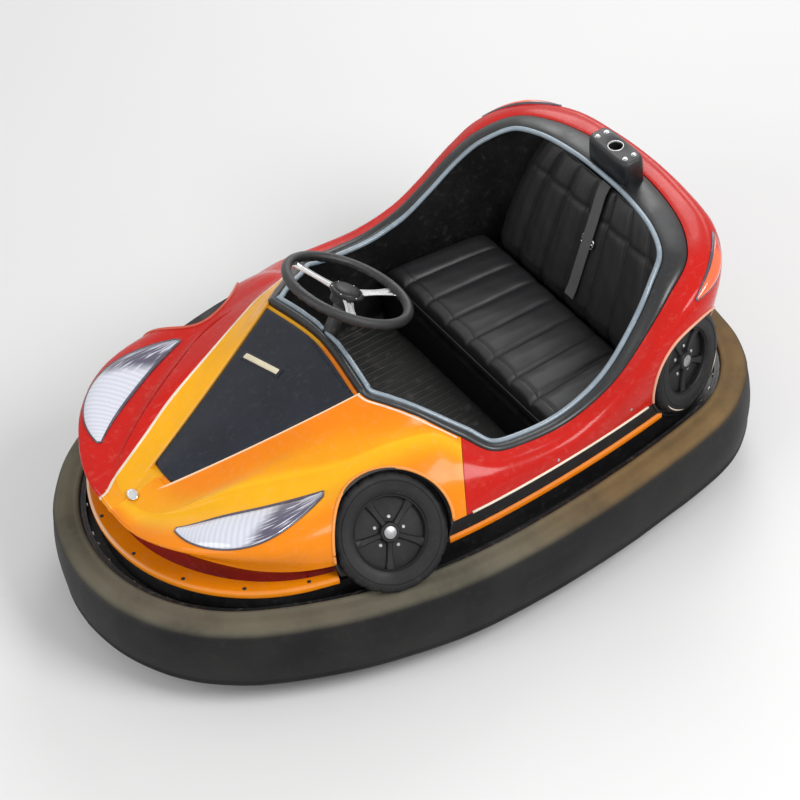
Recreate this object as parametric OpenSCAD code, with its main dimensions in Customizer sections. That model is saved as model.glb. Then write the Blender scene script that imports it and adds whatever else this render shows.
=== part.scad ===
// Battery bumper car for fairground rinks: a moulded open body inside a rubber bumper ring,
// on a steel pan with one steered drive wheel in front and two free wheels behind.
// Millimetres. +X is forward, +Y is the driver's left, +Z is up. The origin is on the floor,
// under the middle of the bumper.

/* [Bumper ring] */
// Length over the rubber
overall_l = 1600; // [1550:10:1700]
// Width over the rubber
overall_w = 1088; // [1060:2:1140]
// Thickness of the rubber, measured inwards
bumper_t = 68; // [60:2:76]
// Height of the rubber's top face
bumper_top = 235; // [220:1:245]
// Height of the rubber's underside
bumper_bottom = 55; // [45:1:70]
// Radius of the rubber's nose seen from above, as a share of the half width
bumper_nose = 0.82; // [0.78:0.01:0.85]
// Radius of the rubber's sides behind the middle, as a share of the half width
bumper_side = 4.9; // [4.5:0.1:6]
// Radius of the rubber's rear corners, as a share of the half width
bumper_corner = 0.56; // [0.5:0.01:0.6]
// Radius of the rubber's tail, as a share of the half width
bumper_tail = 2.7; // [2.4:0.1:3.2]
// Thickness of the steel band behind the rubber
band_t = 6; // [4:1:8]

/* [Body] */
// Deck between the rubber's outside and the body, in front and behind
deck_end = 94; // [90:1:104]
// Deck between the rubber's outside and the body, at the sides
deck_side = 98; // [94:1:108]
// Radius of the body's nose seen from above, as a share of the half width
body_nose = 0.89; // [0.84:0.01:0.92]
// Radius of the body's sides behind the middle, as a share of the half width
body_side = 6.9; // [6:0.1:8]
// Radius of the body's rear corners, as a share of the half width
body_corner = 0.54; // [0.5:0.01:0.58]
// Radius of the body's tail, as a share of the half width
body_tail = 3.8; // [3.4:0.1:4.2]
// Height of the body shell's foot
body_foot = 326; // [320:1:340]
// Thickness of the moulded shell
shell_t = 8; // [6:1:10]
// Depth of the recess that holds the hood panel
hood_recess = 10; // [8:1:14]
// Height of the lower lip's top face
lip_top = 282; // [276:1:290]
// Thickness of the lower lip
lip_t = 18; // [12:1:24]

/* [Dummy wheels] */
// Radius of the front wheel recess
front_arch_r = 136; // [128:1:138]
// Radius of the rear wheel recess
rear_arch_r = 128; // [118:1:130]
// Depth of the recesses
arch_depth = 34; // [28:1:38]

/* [Steering] */
// Radius of the steering wheel, to the middle of its rim
wheel_r = 138; // [120:1:150]
// Radius of the steering wheel's rim section
wheel_rim_r = 12; // [10:0.5:14]
// Place of the steering wheel's centre along the car
wheel_x = 67; // [60:1:72]
// Height of the steering wheel's centre
wheel_z = 635; // [625:1:645]
// Slope of the steering column above the horizontal
column_slope = 60; // [58:0.5:62]
// Outer radius of the column tube
column_r = 17; // [15:0.5:19]
// Radius of the steering shaft
shaft_r = 9; // [7:0.5:11]

/* [Running gear] */
// Radius of the steered drive wheel
drive_r = 95; // [85:1:100]
// Width of the drive wheel
drive_w = 50; // [40:1:54]
// Radius of the free rear wheels
rear_r = 75; // [70:1:80]
// Width of a rear wheel
rear_w = 45; // [38:1:50]
// Place of the rear axle along the car
rear_axle_x = -400; // [-420:5:-380]
// Distance between the middles of the rear wheels
rear_track = 635; // [620:5:650]
// Radius of the wheel pins
pin_r = 10; // [8:0.5:12]
// Radius of the drum over the drive unit
drum_r = 178; // [175:1:185]
// Height of the drum's top face
drum_top = 268; // [264:1:274]
// Height of the floor pan's underside
pan_z = 100; // [96:1:104]
// Thickness of the floor pan
pan_t = 6; // [4:1:8]

/* [Seat] */
// Height of the seat box
seat_z = 206; // [196:1:216]
// Thickness of the seat cushion
cushion_t = 78; // [60:2:90]
// Thickness of the backrest's top
back_t = 34; // [28:2:38]

/* [Hidden] */
$fn = 48;
seat_gap = 0.3;        // pieces that rest on each other
run_gap = 0.05;        // radial clearance of a shaft in its bore

// An outline seen from above: nose arc, front side arc, rear side arc, corner arc and tail arc.
// Its columns: front x, half width, and the radii of nose, rear side, corner and tail.
// The tail lies as far behind the middle as the nose lies in front of it.
function outline(front, half_w, nose, side, corner, tail) =
    [front, half_w, nose * half_w, side * half_w, corner * half_w, tail * half_w];
bumper_plan = outline(overall_l / 2, overall_w / 2, bumper_nose, bumper_side, bumper_corner,
    bumper_tail);
body_plan = outline(overall_l / 2 - deck_end, overall_w / 2 - deck_side, body_nose, body_side,
    body_corner, body_tail);
long = body_plan[0] / 706;     // the body's length against the one the tables are drawn for
wide = body_plan[1] / 446;     // the same for its width

function nose_cx(p) = p[0] - p[2];
function side_r(p) = (pow(nose_cx(p), 2) + pow(p[1], 2) - pow(p[2], 2)) / (2 * (p[1] - p[2]));
function nose_a(p) = atan2(side_r(p) - p[1], nose_cx(p));
function tail_cx(p) = p[5] - p[0];
// Centre of the corner arc, which touches the rear side arc and the tail arc
function corner_c(p) = let (a = [0, p[1] - p[3]], b = [tail_cx(p), 0], d = norm(b - a),
    ra = p[3] - p[4], rb = p[5] - p[4], k = (ra * ra - rb * rb + d * d) / (2 * d),
    e = (b - a) / d) a + k * e + sqrt(ra * ra - k * k) * [-abs(e[1]), e[0]];
function corner_from(p) = let (c = corner_c(p)) atan2(c[1] - p[1] + p[3], c[0]);
function corner_to(p) = let (c = corner_c(p)) atan2(c[1], c[0] - tail_cx(p));
function on_arc(cx, cy, r, a) = [cx + r * cos(a), cy + r * sin(a)];

// Point of an outline at run s, from 0 at the nose to 5 at the tail on the left side
function plan_pt(p, s, inset = 0) =
    s < 0 ? flip2(plan_pt(p, -s, inset))
    : s <= 1 ? on_arc(nose_cx(p), 0, p[2] - inset, s * nose_a(p))
    : s <= 2 ? on_arc(0, p[1] - side_r(p), side_r(p) - inset,
        nose_a(p) + (s - 1) * (90 - nose_a(p)))
    : s <= 3 ? on_arc(0, p[1] - p[3], p[3] - inset, 90 + (s - 2) * (corner_from(p) - 90))
    : s <= 4 ? on_arc(corner_c(p)[0], corner_c(p)[1], p[4] - inset,
        corner_from(p) + (s - 3) * (corner_to(p) - corner_from(p)))
    : s <= 5 ? on_arc(tail_cx(p), 0, p[5] - inset, corner_to(p) + (s - 4) * (180 - corner_to(p)))
    : flip2(plan_pt(p, 10 - s, inset));
function flip2(a) = [a[0], -a[1]];
function flip3(a) = [a[0], -a[1], a[2]];

// Flat outline, and a flat ring between two insets
module plan_shape(p, inset = 0, steps = 10)
    polygon([for (i = [0:10 * steps - 1]) plan_pt(p, i / steps, inset)]);

module plan_ring(p, inset, thick)
    difference() {
        plan_shape(p, inset);
        plan_shape(p, inset + thick);
    }

// Ring with one section all round. The section's x is measured outwards from the outline.
module plan_sweep(p, section, steps) {
    n = 10 * steps;
    m = len(section);
    function id(i, j) = (i % n) * m + j % m;
    polyhedron([for (i = [0:n - 1]) for (q = section) let (a = plan_pt(p, i / steps, -q[0]))
            [a[0], a[1], q[1]]],
        [for (i = [0:n - 1]) for (j = [0:m - 1]) for (f = [
            [id(i, j), id(i, j + 1), id(i + 1, j + 1)], [id(i, j), id(i + 1, j + 1), id(i + 1, j)]])
            f], convexity = 8);
}

// The body's skin runs from the rim of the cockpit over a crease down to the foot. Each row of
// the table is one such section.
// Columns: rim x, y, z, crease x, y, z, run of the foot along the outline, power and root of the
// round side, crown of the top, outward bulge of the side, width of the coaming, inset of the
// foot and its height over the body's foot, depth of the valley beside the crease
section_table = [
    [150, 0, 546, 660, 0, 366, 0.000, 2.4, 2.0, -8, 20, 24, 26, 30, 0],
    [166, 180, 528, 651, 4, 366, 0.040, 2.4, 2.0, -8, 20, 24, 26, 30, 0],
    [158, 196, 518, 640, 62, 371, 0.150, 2.6, 2.2, -4, 26, 24, 26, 30, 3],
    [145, 209, 511, 605, 102, 386, 0.270, 3.0, 2.6, -2, 34, 24, 26, 30, 7],
    [132, 221, 505, 563, 127, 403, 0.420, 3.4, 3.0, 0, 38, 24, 25, 28, 12],
    [120, 233, 499, 498, 160, 424, 0.600, 3.6, 3.2, 0, 40, 24, 20, 22, 16],
    [107, 245, 492, 406, 208, 438, 0.820, 3.4, 3.0, 0, 34, 24, 10, 10, 18],
    [94, 258, 484, 295, 260, 448, 1.080, 2.6, 2.2, 0, 16, 24, 0, 0, 16],
    [80, 272, 475, 180, 284, 457, 1.420, 1.8, 1.6, 0, 0, 24, 0, 0, 8],
    [56, 297, 456, 74, 312, 453, 1.660, 1.7, 1.5, 0, 0, 26, 0, 0, 0],
    [20, 335, 428, 32, 353, 425, 1.800, 1.8, 1.5, 0, 0, 28, 0, 0, 0],
    [-26, 384, 398, -18, 402, 394, 1.970, 2.2, 1.5, 0, 2, 30, 0, 0, 0],
    [-110, 392, 380, -108, 410, 375, 2.220, 2.4, 1.6, 0, 3, 30, 0, 0, 0],
    [-205, 393, 376, -205, 411, 371, 2.420, 2.4, 1.6, 0, 3, 31, 0, 0, 0],
    [-295, 391, 398, -298, 410, 393, 2.620, 2.4, 1.6, 0, 4, 33, 0, 0, 0],
    [-365, 388, 437, -371, 409, 433, 2.780, 2.4, 1.8, 0, 6, 36, 0, 0, 0],
    [-447, 376, 502, -461, 402, 499, 2.980, 2.2, 2.2, 1, 12, 42, 0, 0, 0],
    [-515, 356, 547, -538, 386, 545, 3.200, 2.0, 2.8, 2, 20, 50, 0, 0, 0],
    [-592, 316, 574, -626, 340, 571, 3.520, 2.0, 3.4, 3, 30, 60, 0, 0, 0],
    [-645, 232, 584, -690, 243, 581, 3.840, 2.0, 3.8, 3, 34, 70, 0, 0, 0],
    [-674, 118, 588, -714, 122, 585, 4.400, 2.0, 4.0, 3, 34, 78, 0, 0, 0],
    [-682, 0, 590, -722, 0, 586, 5.000, 2.0, 4.0, 3, 34, 82, 0, 0, 0]];
sections = [for (r = section_table) [r[0] * long, r[1] * wide, r[2], r[3] * long, r[4] * wide,
    r[5], r[6], r[7], r[8], r[9], r[10], r[11], r[12], r[13] + body_foot, r[14]]];
tail_u = len(sections) - 1;
notch_u = 10;          // section where the front and rear bodies meet
hood_u = 1;            // section along the edge of the hood panel
coaming_rise = 14;     // how far the coaming rises inwards at the tail
crease_w = 30;         // sweep of the crease, in degrees of the section's sweep
hood_w = 25;           // where the hood panel ends, in the same degrees

function flip_row(r, turn) =
    [r[0], -r[1], r[2], r[3], -r[4], r[5], turn - r[6], r[7], r[8], r[9], r[10], r[11], r[12],
        r[13], r[14]];
function row(i) = i < 0 ? flip_row(sections[-i], 0)
    : i > tail_u ? flip_row(sections[2 * tail_u - i], 10)
    : sections[i];
function blend(a, b, c, d, t) = 0.5 * (2 * b + (c - a) * t + (2 * a - 5 * b + 4 * c - d) * t * t
    + (3 * b - a - 3 * c + d) * t * t * t);
// Section 1 is far from section 0 and close to section 2, so behind it the curve takes a nearer one
function row_at(u) = let (i = floor(u), t = u - i)
    blend(i == 1 ? row(1) + 0.12 * (row(0) - row(1)) : row(i - 1), row(i), row(i + 1), row(i + 2), t);

// Point of the skin at section u, from 0 at the nose to tail_u at the tail, and sweep w,
// from 0 at the rim to 90 degrees at the foot
function skin_top(r, t) =
    [r[0] + (r[3] - r[0]) * t, r[1] + (r[4] - r[1]) * t,
        r[2] + (r[5] - r[2]) * t + r[9] * 4 * t * (1 - t)];
function skin_side(r, a) =
    let (v = pow(sin(a), 2 / r[7]), foot = plan_pt(body_plan, r[6], r[12]),
        out = plan_pt(body_plan, r[6], r[12] - 1) - foot)
    [(1 - v) * r[3] + v * foot[0] + out[0] * r[10] * sin(2 * a),
        (1 - v) * r[4] + v * foot[1] + out[1] * r[10] * sin(2 * a),
        r[13] + (r[5] - r[13]) * pow(cos(a), 2 / r[8]) - r[14] * 5 * v * exp(1 - 5 * v)];
function skin_half(u, w) = w <= crease_w ? skin_top(row_at(u), w / crease_w)
    : skin_side(row_at(u), (w - crease_w) / (90 - crease_w) * 90);
function skin(u, w) = u < 0 ? flip3(skin_half(-u, w))
    : u > tail_u ? flip3(skin_half(2 * tail_u - u, w)) : skin_half(u, w);
function unit(a) = a / norm(a);
function skin_normal(u, w) =
    unit(cross(skin(u, min(w + 1, 90)) - skin(u, max(w - 1, 0)),
        skin(u + 0.05, w) - skin(u - 0.05, w)));
function skin_off(u, w, d) = skin(u, w) + d * skin_normal(u, w);

// Point of the coaming at section u: d is measured inwards from the rim, or from the coaming's
// inner edge if edge is true
function coaming_half(u, d, lift, edge) =
    let (r = row_at(u), a = skin(u + 0.05, 0) - skin(u - 0.05, 0), side = unit([-a[1], a[0]]),
        in = edge ? d + r[11] : d, rise = coaming_rise * pow(max(0, (u - 14) / (tail_u - 14)), 0.7))
    [r[0] + side[0] * in, r[1] + side[1] * in, r[2] + lift + rise * in / r[11]];
function coaming_pt(u, d, lift, edge = false) = u < 0 ? flip3(coaming_half(-u, d, lift, edge))
    : u > tail_u ? flip3(coaming_half(2 * tail_u - u, d, lift, edge))
    : coaming_half(u, d, lift, edge);
function coaming_w(u) = row_at(u > tail_u ? 2 * tail_u - u : abs(u))[11];

// Solid between two grids of points of the same size. Rows run along u and columns across.
module slab(outer, inner, closed = false) {
    n = len(outer);
    m = len(outer[0]);
    last = closed ? n - 1 : n - 2;
    pts = concat([for (a = outer) for (b = a) b], [for (a = inner) for (b = a) b]);
    function id(i, j, k) = k * n * m + (i % n) * m + j;
    function quad(a, b, c, d) = [[a, b, c], [a, c, d]];
    skins = [for (i = [0:last]) for (j = [0:m - 2]) for (f = concat(
        quad(id(i, j, 0), id(i + 1, j, 0), id(i + 1, j + 1, 0), id(i, j + 1, 0)),
        quad(id(i, j, 1), id(i, j + 1, 1), id(i + 1, j + 1, 1), id(i + 1, j, 1)))) f];
    edges = [for (i = [0:last]) for (f = concat(
        quad(id(i, 0, 0), id(i, 0, 1), id(i + 1, 0, 1), id(i + 1, 0, 0)),
        quad(id(i, m - 1, 0), id(i + 1, m - 1, 0), id(i + 1, m - 1, 1), id(i, m - 1, 1)))) f];
    ends = closed ? [] : [for (j = [0:m - 2]) for (f = concat(
        quad(id(0, j, 0), id(0, j + 1, 0), id(0, j + 1, 1), id(0, j, 1)),
        quad(id(n - 1, j, 0), id(n - 1, j, 1), id(n - 1, j + 1, 1), id(n - 1, j + 1, 0)))) f];
    polyhedron(pts, concat(skins, edges, ends), convexity = 6);
}

function span(a, b, n) = [for (i = [0:n]) a + (b - a) * i / n];
sweeps = [0, 2, 7, 13, 19, hood_w - 0.6, hood_w, crease_w, 33, 38, 46, 55, 65, 77, 90];
side_us = [for (u = span(2, notch_u - 0.5, 15)) u];
front_us = concat([-notch_u + 0.01], [for (i = [0:15]) -side_us[15 - i]],
    [-1.5, -hood_u - 0.03], span(-hood_u, hood_u, 6), [hood_u + 0.03, 1.5], side_us,
    [notch_u - 0.01]);
rear_us = span(notch_u + 0.01, 2 * tail_u - notch_u - 0.01, 42);

function in_hood(u, w) = abs(u) <= hood_u && w < hood_w;
function near_hood(u, w) = abs(u) < 1.2 && w <= hood_w;
function sunk(p, down) = [p[0], p[1], p[2] - down];
function inside(u, w) = let (p = skin(u, w), q = skin_off(u, w, -shell_t))
    w <= 2 ? sunk(p, shell_t) : w == 90 ? [q[0], q[1], p[2]] : q;

module front_body() color("orange")
    difference() {
        slab([for (u = front_us) [for (w = sweeps)
                sunk(skin(u, w), in_hood(u, w) ? hood_recess : 0)]],
            [for (u = front_us) [for (w = sweeps)
                sunk(inside(u, w), near_hood(u, w) ? hood_recess : 0)]]);
        arch_cuts();
        for (side = [0, 1]) mirror([0, side, 0]) lamp_pocket(head_lamp);
    }

module rear_body() color("firebrick")
    difference() {
        slab([for (u = rear_us) [for (w = sweeps) skin(u, w)]],
            [for (u = rear_us) [for (w = sweeps) inside(u, w)]]);
        arch_cuts();
        for (side = [0, 1]) mirror([0, side, 0]) lamp_pocket(tail_lamp);
    }

// Black panel let into the bonnet
module hood_panel() color([0.11, 0.12, 0.14]) {
    us = concat([-hood_u + 0.02], span(-hood_u * 2 / 3, hood_u * 2 / 3, 4), [hood_u - 0.02]);
    ws = [0.6, 7, 13, 19, hood_w - 0.9];
    slab([for (u = us) [for (w = ws) sunk(skin(u, w), 3)]],
        [for (u = us) [for (w = ws) sunk(skin(u, w), hood_recess - seat_gap)]]);
}

badge_w = 28.6;        // sweep at which the badge sits
module nose_badge() color("silver") {
    n = skin_normal(0, badge_w);
    translate(skin(0, badge_w) + n * seat_gap) rotate([0, acos(n[2]), 0]) scale([1, 1.5, 1])
        cylinder(r = 11, h = 4);
}

// Black edge round the cockpit, and the grey trim along its inner edge
loop_us = concat(front_us, [for (i = [1:len(rear_us) - 2]) rear_us[i]]);
trim_w = 6;
module coaming() color([0.06, 0.06, 0.07])
    difference() {
        slab([for (u = loop_us) let (w = coaming_w(u) - trim_w - seat_gap)
                [for (k = [0, 0.15, 0.5, 0.85, 1])
                    coaming_pt(u, seat_gap + k * w, 1 + 6 * sin(180 * k))]],
            [for (u = loop_us) let (w = coaming_w(u) - trim_w - seat_gap)
                [for (k = [0, 0.15, 0.5, 0.85, 1]) coaming_pt(u, seat_gap + k * w, -10)]], true);
        column_hole();
    }

module coaming_trim() color([0.55, 0.62, 0.68])
    difference() {
        slab([for (u = loop_us) [for (k = [-1, -0.5, 0.5, 1])
                coaming_pt(u, k * (trim_w - seat_gap), abs(k) == 1 ? 1 : 6, true)]],
            [for (u = loop_us) [for (k = [-1, -0.5, 0.5, 1])
                coaming_pt(u, k * (trim_w - seat_gap), -10, true)]], true);
        column_hole();
    }

// Where the dummy wheels sit: place, lean, toe and radius of each recess
arches = [[250, 406, 346, 38, -8, front_arch_r], [-543, 392, 358, 8, 20, rear_arch_r]];
module at_arch(a, side) mirror([0, side, 0])
    translate([a[0] * long, a[1] * wide, a[2]]) rotate([0, 0, a[4]]) rotate([a[3] - 90, 0, 0])
        children();
module arch_cuts() for (a = arches) for (side = [0, 1]) at_arch(a, side)
    translate([0, 0, -arch_depth]) cylinder(r = a[5], h = 120);

module wheel_recesses() color([0.05, 0.05, 0.05])
    intersection() {
        for (a = arches) for (side = [0, 1]) at_arch(a, side) difference() {
            translate([0, 0, -arch_depth]) cylinder(r = a[5] - seat_gap, h = arch_depth - 4);
            translate([0, 0, -arch_depth + 4]) cylinder(r = a[5] - 4, h = 90);
        }
        linear_extrude(900) plan_shape(body_plan, 1);
    }
module dummy_wheels() color([0.09, 0.09, 0.1])
    difference() {
        for (a = arches) for (side = [0, 1]) at_arch(a, side)
            translate([0, 0, -arch_depth + 4 + seat_gap]) dummy_wheel(a[5] - 9);
        linear_extrude(bumper_top + 5 + seat_gap) plan_ring(bumper_plan, 0, bumper_t + seat_gap);
    }
module dummy_wheel(r) {
    tyre_w = 26;
    rim = r * 0.62;
    union() {
        rotate_extrude() polygon([[rim, 0], [r - 3, 0], [r, tyre_w / 2], [r - 5, tyre_w - 4],
            [r - 14, tyre_w], [rim + 8, tyre_w - 2], [rim, tyre_w - 8]]);
        cylinder(r = rim + 0.5, h = 6);
        cylinder(r = 22, h = 20);
        for (i = [0:4]) rotate(72 * i) translate([0, -7, 0]) cube([rim + 2, 14, 14]);
    }
}

// Rings between the chassis and the body's foot. The lip is wider in front, under the mouth.
mouth_x = 250 * long;  // the waist's band begins behind this
lip_w = 26;
mouth_w = 56;
module lower_lip() color("darkorange")
    difference() {
        translate([0, 0, lip_top - lip_t]) linear_extrude(lip_t) difference() {
            plan_shape(body_plan);
            plan_shape(body_plan, mouth_w);
            intersection() {
                plan_shape(body_plan, lip_w);
                translate([mouth_x - overall_l, -overall_w]) square([overall_l, 2 * overall_w]);
            }
        }
        arch_cuts();
    }
mouth_us = [for (u = front_us) if (abs(u) < 7.7) u];
function mouth_pt(u, inset, z) = let (p = plan_pt(body_plan, row_at(abs(u))[6], inset))
    [p[0], u < 0 ? -p[1] : p[1], z];
// The mouth's face: inset from the lip's edge, and height as a share of the mouth's
mouth_face = [[5, 1], [20, 0.8], [26, 0.35], [22, 0]];
function mouth_row(u, deeper) = let (r = row_at(abs(u)), foot = r[13] - 2.5)
    [for (m = mouth_face) mouth_pt(u, max(m[0], r[12] * 0.8 + m[0]) + deeper,
        m[1] * foot + (1 - m[1]) * (lip_top + seat_gap))];
module mouth_recess() color([0.35, 0.02, 0.04])
    difference() {
        slab([for (u = mouth_us) mouth_row(u, 0)], [for (u = mouth_us) mouth_row(u, 5)]);
        arch_cuts();
    }
module waist_band() color([0.04, 0.04, 0.04])
    difference() {
        intersection() {
            translate([0, 0, lip_top + seat_gap])
                linear_extrude(body_foot - lip_top - 2 * seat_gap) plan_ring(body_plan, 4, 10);
            translate([mouth_x - overall_l, -overall_w, 0])
                cube([overall_l, 2 * overall_w, body_foot]);
        }
        arch_cuts();
    }

// Rubber ring: a raised bead, a flat top, a rounded shoulder and a bulging wall
function arc_pts(cx, cy, r, a0, a1, n) = [for (i = [0:n]) on_arc(cx, cy, r, a0 + (a1 - a0) * i / n)];
wall_r = 300;
bumper_mid = (bumper_top + bumper_bottom) / 2;
wall_reach = asin(((bumper_top - bumper_bottom) / 2 - 24) / wall_r);
bumper_section = concat(
    arc_pts(-30, bumper_bottom + 26, 26, 270, 342, 3),
    arc_pts(-wall_r, bumper_mid, wall_r, -wall_reach, wall_reach, 4),
    arc_pts(-27, bumper_top - 26, 22, 18, 84, 3),
    [[-bumper_t + 14, bumper_top], [-bumper_t + 11, bumper_top + 5],
        [-bumper_t + 3, bumper_top + 5], [-bumper_t, bumper_top],
        [-bumper_t, bumper_bottom + 12], [-bumper_t + 12, bumper_bottom]]);
module bumper_ring() color([0.08, 0.08, 0.08]) plan_sweep(bumper_plan, bumper_section, 10);

band_in = bumper_t + seat_gap + band_t;
module bumper_band() color("dimgray")
    translate([0, 0, bumper_bottom + 18]) linear_extrude(bumper_top - bumper_bottom - 22)
        plan_ring(bumper_plan, bumper_t + seat_gap, band_t);

// Chassis: an upright wall under the lip, a flange out to the band, and the floor pan
wall_in = 10;
wall_t = 14;
wall_bottom = 70;
flange_z = 196;
module chassis_wall() color([0.1, 0.1, 0.1])
    difference() {
        translate([0, 0, wall_bottom]) linear_extrude(lip_top - lip_t - seat_gap - wall_bottom)
            plan_ring(body_plan, wall_in, wall_t);
        arch_cuts();
    }
module deck_flange() color([0.12, 0.12, 0.12])
    translate([0, 0, flange_z]) linear_extrude(pan_t) difference() {
        plan_shape(bumper_plan, band_in + seat_gap);
        plan_shape(body_plan, wall_in - seat_gap);
    }
module floor_pan() color([0.2, 0.2, 0.22])
    translate([0, 0, pan_z]) difference() {
        linear_extrude(pan_t) plan_shape(body_plan, wall_in + wall_t + seat_gap);
        translate([drive_x, 0, -1]) cylinder(r = drum_r - drum_t, h = pan_t + 2);
        for (side = [-1, 1])
            translate([rear_axle_x - rear_r - 12, side * rear_track / 2 - rear_w / 2 - 12, -1])
                cube([2 * rear_r + 24, rear_w + 24, pan_t + 2]);
    }
beam_xs = [-610 * long, -200 * long, 480 * long];
module cross_members() color([0.15, 0.15, 0.16])
    intersection() {
        union() for (x = beam_xs)
            translate([x - 25, -overall_w / 2, pan_z - seat_gap - 30]) cube([50, overall_w, 30]);
        translate([0, 0, pan_z - 40]) linear_extrude(60)
            plan_shape(body_plan, wall_in + wall_t + seat_gap);
    }

// Drive unit: a drum on the pan, and inside it a fork that turns right round
ujoint_z = 292;
drive_x = wheel_x + (wheel_z - ujoint_z) / tan(column_slope);
drum_t = 6;
king_r = 14;
module drive_drum() color([0.07, 0.07, 0.07])
    translate([drive_x, 0, 0]) difference() {
        translate([0, 0, pan_z + pan_t + seat_gap])
            cylinder(r = drum_r, h = drum_top - pan_z - pan_t - seat_gap);
        translate([0, 0, pan_z]) cylinder(r = drum_r - drum_t, h = drum_top - 8 - pan_z);
        cylinder(r = king_r + run_gap, h = 400);
    }
fork_top = drum_top - 18;
leg_in = drive_w / 2 + 8;
leg_t = 10;
module drive_fork() color([0.3, 0.3, 0.32])
    translate([drive_x, 0, 0]) {
        translate([0, 0, fork_top - 12]) cylinder(r = 110, h = 12);
        translate([0, 0, fork_top - 1]) cylinder(r = 40, h = drum_top - 8 - fork_top + 1 - seat_gap);
        cylinder_at(king_r, fork_top - 4, ujoint_z - 10);
        for (side = [-1, 1]) translate([-32, side * (leg_in + leg_t / 2) - leg_t / 2, drive_r - 26])
            cube([64, leg_t, fork_top - drive_r + 20]);
        translate([0, 0, drive_r]) rotate([90, 0, 0])
            cylinder(r = pin_r, h = 2 * (leg_in + leg_t) + 8, center = true);
    }
module cylinder_at(r, z0, z1) translate([0, 0, z0]) cylinder(r = r, h = z1 - z0);
module drive_motor() color([0.45, 0.46, 0.48])
    translate([drive_x, leg_in + leg_t + seat_gap, drive_r]) rotate([-90, 0, 0]) difference() {
        union() {
            cylinder(r = 50, h = 84);
            cylinder(r = 40, h = 98);
        }
        translate([0, 0, -1]) cylinder(r = pin_r + 1, h = 12);
    }

// A wheel on the Y axis: tyre, and hub with its bore
module tyre(r, w, rim) rotate([90, 0, 0]) rotate_extrude($fn = 72)
    polygon([[rim, -w / 2], [r - 9, -w / 2], [r - 2, -w / 2 + 5], [r, -w / 4], [r, w / 4],
        [r - 2, w / 2 - 5], [r - 9, w / 2], [rim, w / 2]]);
module hub(rim, w) rotate([90, 0, 0]) difference() {
    union() {
        rotate_extrude($fn = 72) polygon([[pin_r + 8, -w / 2 + 14], [rim - 8, -w / 2 + 14],
            [rim - 6, -w / 2 + 2], [rim - seat_gap, -w / 2 + 2], [rim - seat_gap, w / 2 - 2],
            [rim - 6, w / 2 - 2], [rim - 8, w / 2 - 14], [pin_r + 8, w / 2 - 14]]);
        cylinder(r = pin_r + 9, h = w + 4, center = true);
    }
    cylinder(r = pin_r + run_gap, h = 2 * w, center = true);
}
drive_rim = drive_r * 0.66;
rear_rim = rear_r * 0.62;
module at_rear(side) translate([rear_axle_x, side * rear_track / 2, rear_r]) children();
module drive_wheel_tyre() color([0.1, 0.1, 0.1])
    translate([drive_x, 0, drive_r]) tyre(drive_r, drive_w, drive_rim);
module drive_wheel_hub() color("silver") translate([drive_x, 0, drive_r]) hub(drive_rim, drive_w);
module rear_tyre(side) color([0.1, 0.1, 0.1]) at_rear(side) tyre(rear_r, rear_w, rear_rim);
module rear_hub(side) color("silver") at_rear(side) hub(rear_rim, rear_w);

module rear_axle() color([0.25, 0.25, 0.26]) translate([rear_axle_x, 0, rear_r]) {
    inner = rear_track / 2 - rear_w / 2 - 6;
    translate([-20, -inner, -18]) cube([40, 2 * inner, 36]);
    for (side = [-1, 1]) translate([-30, side * 200 - 25, 0])
        cube([60, 50, pan_z - seat_gap - rear_r]);
    rotate([90, 0, 0]) cylinder(r = pin_r, h = rear_track + rear_w + 16, center = true);
    for (side = [-1, 1]) translate([0, side * (rear_track / 2 + rear_w / 2 + 6), 0])
        rotate([90, 0, 0]) cylinder(r = pin_r + 6, h = 5, center = true);
}

// Cockpit: side and rear liner, bulkhead, mat, seat and battery
floor_z = pan_z + pan_t + seat_gap;
liner_us = concat([notch_u - 1, notch_u - 0.5], rear_us,
    [2 * tail_u - notch_u + 0.5, 2 * tail_u - notch_u + 1]);
liner_in = 24;         // the liner hangs from the coaming this far inside the rim, less in front
function liner_half(u, share, inset) =
    let (a = coaming_pt(u, min(liner_in, 8 + 5 * max(0, u - notch_u)) + inset, -10 - seat_gap),
    b = plan_pt(body_plan, row_at(u)[6], 34 + inset), t = pow(share, 0.8))
    [(1 - t) * a[0] + t * b[0], (1 - t) * a[1] + t * b[1], (1 - share) * a[2] + share * floor_z];
function liner_pt(u, share, inset) = u > tail_u ? flip3(liner_half(2 * tail_u - u, share, inset))
    : liner_half(u, share, inset);
module cockpit_liner() color([0.05, 0.05, 0.06])
    slab([for (u = liner_us) [for (k = [0, 0.3, 0.65, 1]) liner_pt(u, k, -5)]],
        [for (u = liner_us) [for (k = [0, 0.3, 0.65, 1]) liner_pt(u, k, 0)]]);

bulkhead_x = 330 * long;
module front_bulkhead() color([0.05, 0.05, 0.06])
    difference() {
        translate([bulkhead_x, 0, 0]) rotate([90, 0, 90]) linear_extrude(5)
            polygon([for (q = [[-362, 0], [362, 0], [362, 156], [345, 156], [345, 180], [318, 244],
                [262, 296], [-262, 296], [-318, 244], [-345, 180], [-345, 156], [-362, 156]])
                [q[0] * wide, floor_z + q[1]]]);
        translate([drive_x, 0, 0]) cylinder(r = drum_r + seat_gap, h = 600);
    }
module floor_mat() color([0.12, 0.12, 0.12])
    translate([0, 0, floor_z]) linear_extrude(4) difference() {
        intersection() {
            plan_shape(body_plan, 46);
            translate([seat_front + 8, -overall_w])
                square([bulkhead_x - seat_front - 9, 2 * overall_w]);
        }
        translate([drive_x, 0]) circle(r = drum_r + seat_gap);
    }
seat_front = -235 * long;
seat_rear = -500 * long;
box_rear = -640 * long;
cushion_top = seat_z + seat_gap + cushion_t;
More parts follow.
